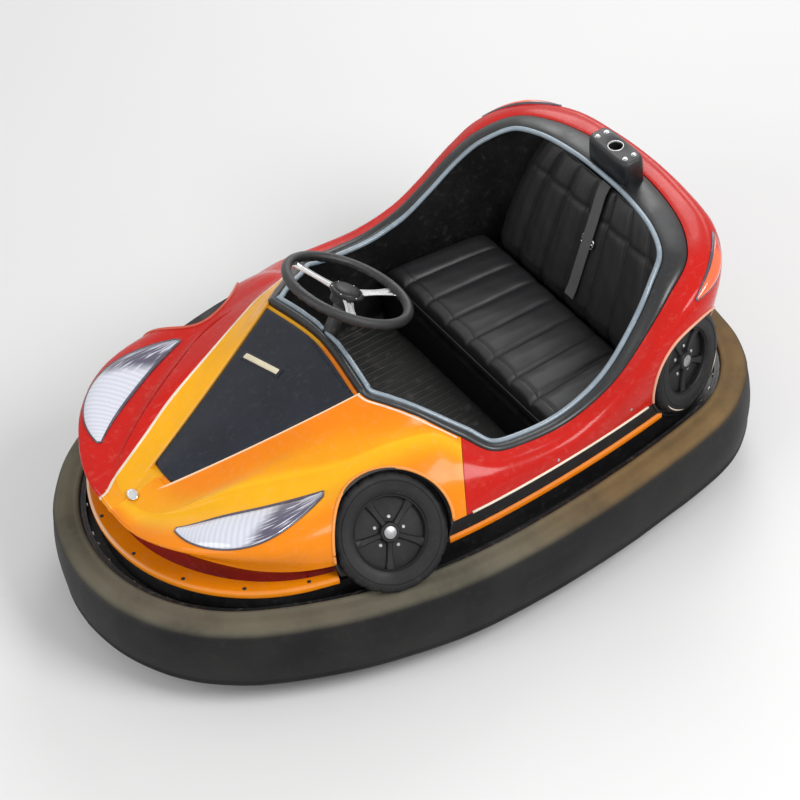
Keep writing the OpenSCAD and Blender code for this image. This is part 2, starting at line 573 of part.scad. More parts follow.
module seat_box() color([0.06, 0.06, 0.07])
    intersection() {
        translate([0, 0, pan_z]) linear_extrude(seat_z) plan_shape(body_plan, 52);
        union() {
            translate([seat_front - 6, -overall_w, floor_z])
                cube([6, 2 * overall_w, seat_z - floor_z]);
            translate([box_rear, -overall_w, seat_z - 6])
                cube([seat_front - box_rear, 2 * overall_w, 6]);
        }
    }
module battery() color([0.15, 0.2, 0.25])
    translate([-560 * long, -180, floor_z]) cube([300 * long, 360, 86]);
module seat_cushion() color([0.08, 0.08, 0.09])
    intersection() {
        translate([0, 0, seat_z + seat_gap]) linear_extrude(cushion_t) plan_shape(body_plan, 66);
        translate([seat_rear, -overall_w, 0])
            cube([seat_front - seat_rear, 2 * overall_w, 2 * seat_z + cushion_t]);
    }
// The backrest leans back from the cushion's rear edge to a top under the coaming
back_mid = [-543 * long, 403];
back_top = [-604 * long, 571];
module seat_back() color([0.07, 0.07, 0.08])
    intersection() {
        rotate([90, 0, 0]) linear_extrude(2 * overall_w, center = true)
            polygon([[seat_rear - seat_gap, seat_z + seat_gap],
                [seat_rear - seat_gap, cushion_top], back_mid, back_top,
                back_top - [back_t, 0], back_mid - [back_t * 2, 0],
                [seat_rear - back_t * 2, seat_z + seat_gap]]);
        linear_extrude(900)
            polygon([for (q = [[-642, -110], [-630, -185], [-592, -258], [-545, -300], [-470, -318],
                [-470, 318], [-545, 300], [-592, 258], [-630, 185], [-642, 110]])
                [q[0] * long, q[1] * wide]]);
    }

module at_column() translate([wheel_x, 0, wheel_z]) rotate([0, column_slope - 90, 0]) children();
module column_hole() at_column() translate([0, 0, -300]) cylinder(r = column_r + seat_gap, h = 300);

// The dashboard hangs from the coaming
dash_us = [for (u = front_us) if (abs(u) < 5.8) u];
dash_foot = 392;
dash_t = 8;
function dash_pt(u, share, ahead) = let (c = coaming_pt(u, -8, -10 - seat_gap, true))
    [c[0] + ahead + 14 * share * (1 - share), c[1], c[2] + (dash_foot - c[2]) * share];
module dashboard() color([0.06, 0.06, 0.07])
    difference() {
        slab([for (u = dash_us) [for (k = [0, 0.3, 0.7, 1]) dash_pt(u, k, dash_t)]],
            [for (u = dash_us) [for (k = [0, 0.3, 0.7, 1]) dash_pt(u, k, 0)]]);
        column_hole();
    }
module dash_dials() color("silver")
    for (u = [-0.72, -0.38, 0.38, 0.72]) let (p = dash_pt(u, 0.45, -2.3)) translate(p)
        rotate([0, -90, 0]) cylinder(r = 15, h = 8);
tube_end = (wheel_z - ujoint_z) / sin(column_slope) - 42.3;
module column_tube() color([0.1, 0.1, 0.11])
    at_column() difference() {
        translate([0, 0, -tube_end]) cylinder(r = column_r, h = tube_end - 36);
        translate([0, 0, -110]) cylinder(r = shaft_r + run_gap, h = 110);
    }
module column_gaiter() color([0.05, 0.05, 0.05])
    translate([drive_x, 0, 0]) difference() {
        union() {
            translate([0, 0, ujoint_z]) sphere(r = 42);
            translate([0, 0, drum_top + seat_gap]) cylinder(r = 52, h = 7);
        }
        translate([0, 0, ujoint_z]) sphere(r = 36);
        translate([0, 0, drum_top + seat_gap - 100]) cylinder(r = 100, h = 100);
        translate([0, 0, 200]) cylinder(r = 33, h = ujoint_z - 200);
    }
module steering_wheel() color([0.08, 0.08, 0.08]) at_column() {
    rotate_extrude($fn = 72) translate([wheel_r, 0]) circle(r = wheel_rim_r, $fn = 24);
    translate([0, 0, -30]) cylinder(r = 30, h = 22);
    translate([0, 0, -9]) cylinder(r = 38, h = 9);
    translate([0, 0, -100]) cylinder(r = shaft_r, h = 80);
    for (i = [0:2]) rotate([0, 0, 120 * i + 180]) translate([20, -14, -7])
        cube([wheel_r - 26, 28, 6]);
}

// Socket block on the tail for a mast
socket_h = 74;         // from the rim up to the block's top
bore_depth = 50;
socket_half = 72;
socket_ks = [0.13, 0.25, 0.5, 0.85, 0.97];
module pole_socket() color([0.05, 0.05, 0.06]) {
    w = coaming_w(tail_u) - trim_w - seat_gap;
    base = [for (k = socket_ks) coaming_pt(tail_u, seat_gap + k * w,
        1 + seat_gap + 6 * sin(180 * k))];
    mid = (base[0] + base[4]) / 2;
    top = row(tail_u)[2] + socket_h;
    difference() {
        intersection() {
            rotate([90, 0, 0]) linear_extrude(2 * socket_half, center = true)
                polygon(concat([for (b = base) [b[0], b[2]]],
                    [[base[4][0] + 4, top - 6], [base[4][0] - 4, top], [base[0][0] + 10, top],
                        [base[0][0] + 4, top - 6]]));
            translate([mid[0], 0, mid[2] - 50]) linear_extrude(200)
                polygon([for (q = [[-45, -50], [-30, -72], [30, -72], [45, -50], [45, 50], [30, 72],
                    [-30, 72], [-45, 50]]) [q[0], q[1] / 72 * socket_half]]);
        }
        translate([mid[0], 0, top - bore_depth]) cylinder(r = 16, h = bore_depth + 20);
    }
}

module pedal() color("silver") translate([30, -230, pan_z + pan_t + 4 + 2 * seat_gap]) {
    cube([90, 60, 6]);
    translate([70, 5, 0]) rotate([0, -35, 0]) cube([8, 50, 70]);
}

// Lamps are almonds on the skin, from one tip to the other.
// Columns: section and sweep of the first tip, of the second tip, bow and half width in degrees
// of sweep, thickness
head_lamp = [3.75, 41.5, 6.98, 35.5, 9, 12, 11];
tail_lamp = [17, 43, 18.8, 40, 3, 9, 9];
function lamp_uv(l, t, k) = [l[0] + (l[2] - l[0]) * t,
    l[1] + (l[3] - l[1]) * t + (l[4] + k * l[5]) * sin(180 * t)];
lamp_seat = 4;         // depth of the pocket under a lamp
module lamp(l) {
    ts = span(0.04, 0.96, 12);
    ks = span(-1, 1, 4);
    slab([for (t = ts) [for (k = ks) let (q = lamp_uv(l, t, k))
            skin_off(q[0], q[1], 2 + (l[6] - 2) * (1 - k * k) * sin(180 * t))]],
        [for (t = ts) [for (k = ks) let (q = lamp_uv(l, t, k))
            skin_off(q[0], q[1], seat_gap - lamp_seat)]]);
}
module lamp_pocket(l) {
    ts = concat([0.03], span(0.04, 0.96, 12), [0.97]);
    ks = concat([-1.05], span(-1, 1, 4), [1.05]);
    slab([for (t = ts) [for (k = ks) let (q = lamp_uv(l, t, k)) skin_off(q[0], q[1], 20)]],
        [for (t = ts) [for (k = ks) let (q = lamp_uv(l, t, k)) skin_off(q[0], q[1], -lamp_seat)]]);
}
module headlamp_left() color("white") lamp(head_lamp);
module headlamp_right() mirror([0, 1, 0]) headlamp_left();
module tail_lamp_left() color("orangered") lamp(tail_lamp);
module tail_lamp_right() mirror([0, 1, 0]) tail_lamp_left();

floor_pan();
cross_members();
chassis_wall();
deck_flange();
bumper_band();
bumper_ring();
lower_lip();
waist_band();
mouth_recess();
front_body();
rear_body();
hood_panel();
nose_badge();
coaming();
coaming_trim();
cockpit_liner();
front_bulkhead();
floor_mat();
seat_box();
seat_cushion();
seat_back();
dashboard();
dash_dials();
column_tube();
column_gaiter();
drive_drum();
battery();
pole_socket();
pedal();
headlamp_left();
headlamp_right();
tail_lamp_left();
tail_lamp_right();
wheel_recesses();
dummy_wheels();
rear_axle();
steering_wheel();
drive_fork();
drive_motor();
drive_wheel_tyre();
drive_wheel_hub();
rear_tyre(1);  // rear_tyre_left
rear_hub(1);  // rear_hub_left
rear_tyre(-1);  // rear_tyre_right
rear_hub(-1);  // rear_hub_right
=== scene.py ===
"""Dresses the bumper car in gel coat, rubber, trim, upholstery and running gear."""
import math

import bpy
import bmesh
import numpy as np
from mathutils import Matrix, Vector


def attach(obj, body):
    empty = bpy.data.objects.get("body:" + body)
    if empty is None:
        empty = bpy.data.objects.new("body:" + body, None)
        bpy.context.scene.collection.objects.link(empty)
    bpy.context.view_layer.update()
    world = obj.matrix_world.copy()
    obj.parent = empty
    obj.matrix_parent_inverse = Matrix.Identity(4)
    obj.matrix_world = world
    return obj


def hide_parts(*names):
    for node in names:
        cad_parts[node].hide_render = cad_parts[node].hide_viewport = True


bl_info = {
    "name": "Bumper car dresser",
    "version": (1, 0, 0),
    "blender": (4, 5, 0),
    "location": "3D View > Sidebar > Bumper car",
    "description": "Builds the finishes and fittings of a fairground bumper car",
    "category": "Object",
}

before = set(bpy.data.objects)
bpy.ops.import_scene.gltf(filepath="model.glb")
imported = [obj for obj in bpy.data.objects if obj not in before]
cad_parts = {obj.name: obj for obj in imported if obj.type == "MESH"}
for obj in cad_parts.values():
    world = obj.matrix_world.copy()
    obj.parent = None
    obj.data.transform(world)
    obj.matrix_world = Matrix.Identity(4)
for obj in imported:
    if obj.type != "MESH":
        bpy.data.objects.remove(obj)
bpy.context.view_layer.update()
MM = 0.001


# Settings that a user would change

class StageSettings(bpy.types.PropertyGroup):
    """Camera, floor and light."""
    camera_place: bpy.props.FloatVectorProperty(name="Camera place",
        description="Where the camera stands", size=3, subtype="TRANSLATION", unit="LENGTH",
        default=(2.3276, 4.1179, 4.8354))
    camera_aim: bpy.props.FloatVectorProperty(name="Camera aim",
        description="Point in the middle of the picture", size=3, subtype="TRANSLATION",
        unit="LENGTH", default=(-0.007, 0.0458, 0.3))
    camera_roll: bpy.props.FloatProperty(name="Camera roll",
        description="Turn of the camera about its axis, clockwise", subtype="ANGLE",
        unit="ROTATION", default=math.radians(5.74))
    lens: bpy.props.FloatProperty(name="Lens",
        description="Focal length on a 36 mm sensor, in millimetres", default=134.0)
    floor_grey: bpy.props.FloatProperty(name="Floor", description="Reflectance of the floor",
        default=0.70, min=0.0, max=1.0)
    sky: bpy.props.FloatProperty(name="Sky", description="Strength of the room's even light",
        default=0.56, min=0.0)
    key_power: bpy.props.FloatProperty(name="Key lamp", description="Power of the large lamp",
        subtype="POWER", unit="POWER", default=160.0)


class PaintSettings(bpy.types.PropertyGroup):
    """Colours of the mouldings."""
    orange: bpy.props.FloatVectorProperty(name="Orange", description="Gel coat of the front body",
        size=3, subtype="COLOR", default=(0.80, 0.18, 0.001))
    # the yellow also gives the painted highlight under the left crease
    yellow: bpy.props.FloatVectorProperty(name="Yellow",
        description="Lighter gel coat along the crease", size=3, subtype="COLOR",
        default=(0.84, 0.42, 0.006))
    red: bpy.props.FloatVectorProperty(name="Red",
        description="Gel coat of the rear body and the right fender", size=3, subtype="COLOR",
        default=(0.50, 0.007, 0.003))
    # colour of the painted highlights along edges and creases
    line: bpy.props.FloatVectorProperty(name="Edge line", description="Pale line along the edges",
        size=3, subtype="COLOR", default=(0.86, 0.62, 0.42))
    panel: bpy.props.FloatVectorProperty(name="Hood panel", description="Dark panel of the hood",
        size=3, subtype="COLOR", default=(0.010, 0.013, 0.021))
    dust: bpy.props.FloatVectorProperty(name="Dust", description="Dust on the rubber's top",
        size=3, subtype="COLOR", default=(0.135, 0.122, 0.088))
    tan: bpy.props.FloatVectorProperty(name="Tan dust", description="Browner dust at the tail",
        size=3, subtype="COLOR", default=(0.20, 0.125, 0.053))


class SizeSettings(bpy.types.PropertyGroup):
    """Sizes of the added fittings."""
    piping_r: bpy.props.FloatProperty(name="Piping radius",
        description="Radius of the cockpit's edge piping", unit="LENGTH", default=0.0062)
    bead_r: bpy.props.FloatProperty(name="Arch bead",
        description="Radius of the rolled edge of the wheel arches", unit="LENGTH", default=0.0034)
    grip_r: bpy.props.FloatProperty(name="Steering grip",
        description="Radius of the steering wheel's rim section", unit="LENGTH", default=0.0118)
    screw_r: bpy.props.FloatProperty(name="Screw head",
        description="Radius of the body's screw heads", unit="LENGTH", default=0.0045)
    pleats: bpy.props.IntProperty(name="Pleats", description="Sewn channels across the seat",
        default=9, min=3)


def settings():
    """The add-on's settings, which live on the scene."""
    return bpy.context.scene.bumper_car


# The car's form, as in its CAD source, in millimetres

def outline(front, half, nose, side, corner, tail):
    return np.array([front, half, nose * half, side * half, corner * half, tail * half])


BUMPER_PLAN = outline(800, 544, 0.82, 4.9, 0.56, 2.7)
BODY_PLAN = outline(706, 446, 0.89, 6.9, 0.54, 3.8)


def plan_arcs(p):
    """Centre, radius, first and last angle of the outline's five arcs on the left side."""
    front, half, nose, side, corner, tail = p
    nose_x = front - nose
    front_r = (nose_x ** 2 + half ** 2 - nose ** 2) / (2 * (half - nose))
    nose_a = math.atan2(front_r - half, nose_x)
    tail_x = tail - front
    a, b = np.array([0, half - side]), np.array([tail_x, 0.0])
    d = np.hypot(*(b - a))
    ra, rb = side - corner, tail - corner
    k = (ra * ra - rb * rb + d * d) / (2 * d)
    e = (b - a) / d
    c = a + k * e + math.sqrt(ra * ra - k * k) * np.array([-abs(e[1]), e[0]])
    start = math.atan2(c[1] - half + side, c[0])
    stop = math.atan2(c[1], c[0] - tail_x)
    return np.array([[nose_x, 0, nose, 0, nose_a], [0, half - front_r, front_r, nose_a, math.pi
        / 2], [0, half - side, side, math.pi / 2, start], [c[0], c[1], corner, start, stop],
        [tail_x, 0, tail, stop, math.pi]])


def plan_xy(p, s, inset=0.0):
    """Points of an outline at run s: 0 at the nose, 5 at the tail, 10 at the nose again."""
    s, inset = np.broadcast_arrays(np.asarray(s, float) % 10, inset)
    flip = s > 5
    s = np.where(flip, 10 - s, s)
    seg = np.clip(np.floor(s).astype(int), 0, 4)
    cx, cy, r, a0, a1 = np.moveaxis(plan_arcs(p)[seg], -1, 0)
    a = a0 + (s - seg) * (a1 - a0)
    y = cy + (r - inset) * np.sin(a)
    return np.stack([cx + (r - inset) * np.cos(a), np.where(flip, -y, y)], -1)


BODY_FOOT = 326.0
LIP_TOP = 282.0
TAIL_U = 21
NOTCH_U = 10
CREASE_W = 30.0
COAMING_TRIM = 6.3
# Sections of the skin: rim x, y, z, crease x, y, z, foot run, power, root, crown, bulge, coaming
# width, foot inset, foot height over the body's foot, valley
SECTIONS = np.array([
    [150, 0, 546, 660, 0, 366, 0, 2.4, 2, -8, 20, 24, 26, 30, 0],
    [166, 180, 528, 651, 4, 366, 0.04, 2.4, 2, -8, 20, 24, 26, 30, 0],
    [158, 196, 518, 640, 62, 371, 0.15, 2.6, 2.2, -4, 26, 24, 26, 30, 3],
    [145, 209, 511, 605, 102, 386, 0.27, 3, 2.6, -2, 34, 24, 26, 30, 7],
    [132, 221, 505, 563, 127, 403, 0.42, 3.4, 3, 0, 38, 24, 25, 28, 12],
    [120, 233, 499, 498, 160, 424, 0.6, 3.6, 3.2, 0, 40, 24, 20, 22, 16],
    [107, 245, 492, 406, 208, 438, 0.82, 3.4, 3, 0, 34, 24, 10, 10, 18],
    [94, 258, 484, 295, 260, 448, 1.08, 2.6, 2.2, 0, 16, 24, 0, 0, 16],
    [80, 272, 475, 180, 284, 457, 1.42, 1.8, 1.6, 0, 0, 24, 0, 0, 8],
    [56, 297, 456, 74, 312, 453, 1.66, 1.7, 1.5, 0, 0, 26, 0, 0, 0],
    [20, 335, 428, 32, 353, 425, 1.8, 1.8, 1.5, 0, 0, 28, 0, 0, 0],
    [-26, 384, 398, -18, 402, 394, 1.97, 2.2, 1.5, 0, 2, 30, 0, 0, 0],
    [-110, 392, 380, -108, 410, 375, 2.22, 2.4, 1.6, 0, 3, 30, 0, 0, 0],
    [-205, 393, 376, -205, 411, 371, 2.42, 2.4, 1.6, 0, 3, 31, 0, 0, 0],
    [-295, 391, 398, -298, 410, 393, 2.62, 2.4, 1.6, 0, 4, 33, 0, 0, 0],
    [-365, 388, 437, -371, 409, 433, 2.78, 2.4, 1.8, 0, 6, 36, 0, 0, 0],
    [-447, 376, 502, -461, 402, 499, 2.98, 2.2, 2.2, 1, 12, 42, 0, 0, 0],
    [-515, 356, 547, -538, 386, 545, 3.2, 2, 2.8, 2, 20, 50, 0, 0, 0],
    [-592, 316, 574, -626, 340, 571, 3.52, 2, 3.4, 3, 30, 60, 0, 0, 0],
    [-645, 232, 584, -690, 243, 581, 3.84, 2, 3.8, 3, 34, 70, 0, 0, 0],
    [-674, 118, 588, -714, 122, 585, 4.4, 2, 4, 3, 34, 78, 0, 0, 0],
    [-682, 0, 590, -722, 0, 586, 5, 2, 4, 3, 34, 82, 0, 0, 0],
])


def table_row(i):
    if i < 0:
        r = SECTIONS[-i].copy()
        r[[1, 4, 6]] *= -1
    elif i > TAIL_U:
        r = SECTIONS[2 * TAIL_U - i].copy()
        r[[1, 4]] *= -1
        r[6] = 10 - r[6]
    else:
        r = SECTIONS[i]
    return r


ROW_FROM = -14
ROWS = np.array([table_row(i) for i in range(ROW_FROM, 37)])


def row_at(u):
    """Section at any u, on a smooth curve through the table."""
    i = np.floor(u).astype(int)
    t = (u - i)[..., None]
    a, b, c, d = (ROWS[i - ROW_FROM + k] for k in (-1, 0, 1, 2))
    a = np.where((i == 1)[..., None], b + 0.12 * (a - b), a)
    d = np.where((i == -2)[..., None], c + 0.12 * (d - c), d)
    return 0.5 * (2 * b + (c - a) * t + (2 * a - 5 * b + 4 * c - d) * t * t
        + (3 * b - a - 3 * c + d) * t ** 3)


def skin(u, w):
    """The skin at section u and sweep w: 0 is the rim, 30 the crease and 90 the foot."""
    u, w = np.broadcast_arrays(np.asarray(u, float), np.asarray(w, float))
    r = np.moveaxis(row_at(u), -1, 0)
    t = np.clip(w / CREASE_W, 0, 1)
    top = np.stack([r[0] + (r[3] - r[0]) * t, r[1] + (r[4] - r[1]) * t, r[2] + (r[5] - r[2]) * t
        + r[9] * 4 * t * (1 - t)], -1)
    a = np.clip((w - CREASE_W) / (90 - CREASE_W), 0, 1) * math.pi / 2
    v = np.sin(a) ** (2 / r[7])
    foot = plan_xy(BODY_PLAN, r[6], r[12])
    out = plan_xy(BODY_PLAN, r[6], r[12] - 1) - foot
    bulge = r[10] * np.sin(2 * a)
    foot_z = r[13] + BODY_FOOT
    side = np.stack([(1 - v) * r[3] + v * foot[..., 0] + out[..., 0] * bulge, (1 - v) * r[4] + v
        * foot[..., 1] + out[..., 1] * bulge, foot_z + (r[5] - foot_z)
        * np.clip(np.cos(a), 0, 1) ** (2 / r[8]) - r[14] * 5 * v * np.exp(1 - 5 * v)], -1)
    p = np.where((w <= CREASE_W)[..., None], top, side)
    # at the nose's middle each side keeps to its own half
    p[..., 1] = np.where(u < 1, np.maximum(p[..., 1], 3.4 * u), p[..., 1])
    return p


def unit(a):
    return a / np.maximum(np.linalg.norm(a, axis=-1, keepdims=True), 1e-9)


def skin_normal(u, w):
    w = np.asarray(w, float)
    return unit(np.cross(skin(u, np.minimum(w + 1, 90)) - skin(u, np.maximum(w - 1, 0)),
        skin(np.asarray(u) + 0.05, w) - skin(np.asarray(u) - 0.05, w)))


def skin_off(u, w, d):
    return skin(u, w) + np.asarray(d)[..., None] * skin_normal(u, w)


def coaming_pt(u, d, lift, edge=False):
    """Point of the coaming, d inwards from the rim, or from its inner edge."""
    u, d, lift = np.broadcast_arrays(np.asarray(u, float), d, lift)
    r = np.moveaxis(row_at(u), -1, 0)
    side = 0
    for step in (-0.5, -0.25, 0, 0.25, 0.5):
        a = skin(u + step + 0.05, 0) - skin(u + step - 0.05, 0)
        side = side + unit(np.stack([-a[..., 1], a[..., 0]], -1))
    side = unit(side)
    inward = d + r[11] if edge else d
    rise = 14 * np.clip((near_u(u) - 14) / (TAIL_U - 14), 0, 1) ** 0.7
    return np.stack([r[0] + side[..., 0] * inward, r[1] + side[..., 1] * inward, r[2] + lift + rise
        * inward / r[11]], -1)


def near_u(u):
    """Section on the left side that stands for a section of either side."""
    return np.where(u > TAIL_U, 2 * TAIL_U - u, np.abs(u))


def sided(points, side):
    """Points with their y turned to a side: 1 is left, -1 is right."""
    out = np.array(points, float)
    out[..., 1] *= side
    return out


# Mesh making

def circle(n):
    """Angles spaced evenly round a circle."""
    return np.linspace(0, 2 * math.pi, n, endpoint=False)


def placed(name, data):
    """New object in the scene."""
    obj = bpy.data.objects.new(name, data)
    bpy.context.scene.collection.objects.link(obj)
    return obj


def piece(name, made, finish_name, body="chassis", node=None, sharp=0, attrs=None):
    """Makes a piece that rides on a body, from points in millimetres and faces."""
    mesh = bpy.data.meshes.new(name)
    verts = np.asarray(made[0], float).reshape(-1, 3) * MM
    mesh.from_pydata(verts.tolist(), [], [list(map(int, f)) for f in made[1]])
    mesh.validate()
    mesh.update()
    for key, values in (attrs or {}).items():
        layer = mesh.attributes.new(key, "FLOAT", "POINT")
        layer.data.foreach_set("value", np.asarray(values, np.float32).ravel())
    mesh.materials.append(material(finish_name))
    mesh.polygons.foreach_set("use_smooth", np.full(len(mesh.polygons), True))
    obj = settle(placed(name, mesh), body)
    if node:
        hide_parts(node)
    return sharpen(obj, sharp) if sharp else obj


def settle(obj, body):
    """Rides a piece on its body."""
    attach(obj, body)
    return obj


def sharpen(obj, angle=35):
    """Marks edges sharper than an angle, so that smooth shading stops there."""
    mesh = obj.data
    bm = bmesh.new()
    bm.from_mesh(mesh)
    limit = math.radians(angle)
    for e in bm.edges:
        if len(e.link_faces) == 2 and e.calc_face_angle(0) > limit:
            e.smooth = False
    bm.to_mesh(mesh)
    bm.free()
    return obj


def flip_if_inside_out(verts, faces):
    """Turns all the faces of a closed mesh round if its volume comes out negative."""
    v = np.asarray(verts, float).reshape(-1, 3)
    total = 0.0
    for f in faces:
        a = v[f[0]]
        for k in range(1, len(f) - 1):
            total += np.dot(a, np.cross(v[f[k]], v[f[k + 1]]))
    return [f[::-1] for f in faces] if total < 0 else faces


def shell(outer, inner, keep=None, closed=False):
    """Closed solid between two grids. keep marks the cells that stay, others are holes."""
    n, m = outer.shape[:2]
    rows = n if closed else n - 1
    if keep is None:
        keep = np.ones((rows, m - 1), bool)
    half = n * m
    faces = []
    for i in range(rows):
        i2 = (i + 1) % n
        for j in range(m - 1):
            if not keep[i, j]:
                continue
            a, b, c, d = i * m + j, i2 * m + j, i2 * m + j + 1, i * m + j + 1
            faces.append((a, b, c, d))
            faces.append((half + a, half + d, half + c, half + b))
            back, ahead = (i - 1) % n if closed else i - 1, (i + 1) % n if closed else i + 1
            if back < 0 or not keep[back, j]:
                faces.append((a, d, half + d, half + a))
            if ahead >= rows and not closed or not keep[ahead % rows, j]:
                faces.append((b, half + b, half + c, c))
            if j == 0 or not keep[i, j - 1]:
                faces.append((a, half + a, half + b, b))
            if j == m - 2 or not keep[i, j + 1]:
                faces.append((d, c, half + c, half + d))
    verts = np.concatenate([outer.reshape(-1, 3), inner.reshape(-1, 3)])
    faces = flip_if_inside_out(verts, faces)
    used = np.zeros(len(verts), bool)
    used[np.unique(np.concatenate([np.array(f) for f in faces]))] = True
    index = np.cumsum(used) - 1
    return verts[used], [tuple(index[list(f)]) for f in faces], used


def ring(sections, closed=True):
    """Closed skin through sections of the same number of points, (n, m, 3)."""
    n, m = sections.shape[:2]
    faces = []
    for i in range(n if closed else n - 1):
        i2 = (i + 1) % n
        for j in range(m):
            j2 = (j + 1) % m
            faces.append((i * m + j, i2 * m + j, i2 * m + j2, i * m + j2))
    if not closed:
        faces.append(tuple(range(m)))
        faces.append(tuple((n - 1) * m + j for j in reversed(range(m))))
    verts = sections.reshape(-1, 3)
    return verts, flip_if_inside_out(verts, faces)


def tube(path, radius, sides=10, closed=False, up=(0, 0, 1), squash=1.0):
    """Tube along a path of points. radius may change along it."""
    path = np.asarray(path, float)
    if closed:
        along = unit(np.roll(path, -1, 0) - np.roll(path, 1, 0))
    else:
        along = unit(np.gradient(path, axis=0))
    up = np.broadcast_to(np.asarray(up, float), path.shape)
    side = unit(np.cross(along, up))
    over = np.cross(side, along)
    a = circle(sides)
    r = np.broadcast_to(np.asarray(radius, float), (len(path),))[:, None, None]
    pts = path[:, None] + r * (np.cos(a)[None, :, None] * side[:, None] + squash
        * np.sin(a)[None, :, None] * over[:, None])
    return ring(pts, closed)


def lathe(section, steps, place=(0, 0, 0), axis=(0, 0, 1)):
    """Turned body: section is a closed list of (radius, height) along an axis from place."""
    axis = unit(np.asarray(axis, float))
    e1 = unit(np.cross(axis, (0, 0, 1) if abs(axis[2]) < 0.9 else (1, 0, 0)))
    e2 = np.cross(axis, e1)
    a = circle(steps)
    s = np.asarray(section, float)
    pts = (np.asarray(place, float) + s[None, :, 1, None] * axis + s[None, :, 0, None]
        * (np.cos(a)[:, None, None] * e1 + np.sin(a)[:, None, None] * e2))
    return ring(pts)


def joined(parts):
    """Several (verts, faces) as one."""
    verts, faces, base = [], [], 0
    for v, f in parts:
        v = np.asarray(v, float).reshape(-1, 3)
        verts.append(v)
        faces += [tuple(int(i) + base for i in face) for face in f]
        base += len(v)
    return np.concatenate(verts), faces


def span(a, b, n):
    return np.linspace(a, b, n + 1)


# Materials

def put(tree, kind, inputs=None, **props):
    """Adds a node. Inputs are values or sockets, by name or number."""
    n = tree.nodes.new(kind)
    for key, value in props.items():
        setattr(n, key, value)
    for key, value in (inputs or {}).items():
        if isinstance(value, bpy.types.NodeSocket):
            tree.links.new(value, n.inputs[key])
        else:
            n.inputs[key].default_value = value
    return n


def maths(tree, operation, a, b, clamp=False):
    return put(tree, "ShaderNodeMath", {0: a, 1: b}, operation=operation,
        use_clamp=clamp).outputs[0]


def times(tree, a, b):
    return maths(tree, "MULTIPLY", a, b)


def plus(tree, a, b, clamp=False):
    return maths(tree, "ADD", a, b, clamp)


def larger(tree, a, b):
    return maths(tree, "MAXIMUM", a, b)


def noise(tree, place, scale, detail, rough=0.5):
    return put(tree, "ShaderNodeTexNoise", {"Vector": place, "Scale": scale, "Detail": detail,
        "Roughness": rough}).outputs["Fac"]


def band(tree, value, low, high, to_low=0.0, to_high=1.0):
    """Maps a value smoothly from low..high."""
    return put(tree, "ShaderNodeMapRange", {"Value": value, "From Min": low, "From Max": high,
        "To Min": to_low, "To Max": to_high}, interpolation_type="SMOOTHSTEP").outputs[0]


def mixed(tree, factor, a, b):
    """Colour a to b by factor."""
    n = put(tree, "ShaderNodeMix", {0: factor}, data_type="RGBA")
    for socket, value in ((n.inputs[6], a), (n.inputs[7], b)):
        if isinstance(value, bpy.types.NodeSocket):
            tree.links.new(value, socket)
        else:
            socket.default_value = (*value[:3], 1)
    return n.outputs[2]


def attribute(tree, name):
    return put(tree, "ShaderNodeAttribute", attribute_name=name).outputs["Fac"]


def new_group(name, inputs, outputs):
    """Shader node group with named sockets. Returns tree, input node and output node."""
    tree = bpy.data.node_groups.new(name, "ShaderNodeTree")
    for label, value in inputs.items():
        socket = tree.interface.new_socket(label, in_out="INPUT", socket_type="NodeSocketFloat")
        socket.default_value = value
    for label in outputs:
        tree.interface.new_socket(label, in_out="OUTPUT", socket_type="NodeSocketFloat")
    return tree, tree.nodes.new("NodeGroupInput"), tree.nodes.new("NodeGroupOutput")


def weathering_group():
    """Spots, broad smudges, thin scratches and fine bumps on object coordinates."""
    tree, put_in, put_out = new_group("weathering", {"Scale": 1.0, "Spots": 0.5, "Scratches": 0.5},
        ["Spots", "Smudge", "Scratches", "Height"])
    place = put(tree, "ShaderNodeTexCoord").outputs["Object"]
    scale = put_in.outputs["Scale"]
    fine = noise(tree, place, times(tree, scale, 60.0), 6.0, 0.65)
    broad = noise(tree, place, times(tree, scale, 7.0), 4.0, 0.6)
    stretched = put(tree, "ShaderNodeMapping", {"Vector": place, "Rotation": (0.3, 0.2, 0.5),
        "Scale": (3.0, 60.0, 60.0)}).outputs[0]
    lines = noise(tree, stretched, times(tree, scale, 1.6), 5.0, 0.7)
    spots = times(tree, band(tree, fine, 0.52, 0.72), put_in.outputs["Spots"])
    marks = times(tree, band(tree, lines, 0.60, 0.72), put_in.outputs["Scratches"])
    for value, label in ((spots, "Spots"), (band(tree, broad, 0.3, 0.7), "Smudge"),
            (marks, "Scratches"), (fine, "Height")):
        tree.links.new(value, put_out.inputs[label])
    return tree


def grain_group():
    """Leather-like grain of mouldings, vinyl and rubber: cell edges and their height."""
    tree, put_in, put_out = new_group("grain", {"Scale": 1.0}, ["Height", "Cells"])
    place = put(tree, "ShaderNodeTexCoord").outputs["Object"]
    cells = put(tree, "ShaderNodeTexVoronoi", {"Vector": place,
        "Scale": times(tree, put_in.outputs["Scale"], 420.0)}, feature="DISTANCE_TO_EDGE").outputs[
        "Distance"]
    rough = noise(tree, place, times(tree, put_in.outputs["Scale"], 160.0), 3.0)
    edge = band(tree, cells, 0.0, 0.12)
    total = plus(tree, times(tree, edge, 0.6), times(tree, rough, 0.4))
    tree.links.new(total, put_out.inputs["Height"])
    tree.links.new(edge, put_out.inputs["Cells"])
    return tree


GROUP_MAKERS = {"weathering": weathering_group, "grain": grain_group}


def use_group(tree, name, **values):
    """Puts a shared group in a material, making it the first time."""
    shared = bpy.data.node_groups.get(name) or GROUP_MAKERS[name]()
    n = tree.nodes.new("ShaderNodeGroup")
    n.node_tree = shared
    for key, value in values.items():
        n.inputs[key].default_value = value
    return n.outputs


FINISH = "finish_"


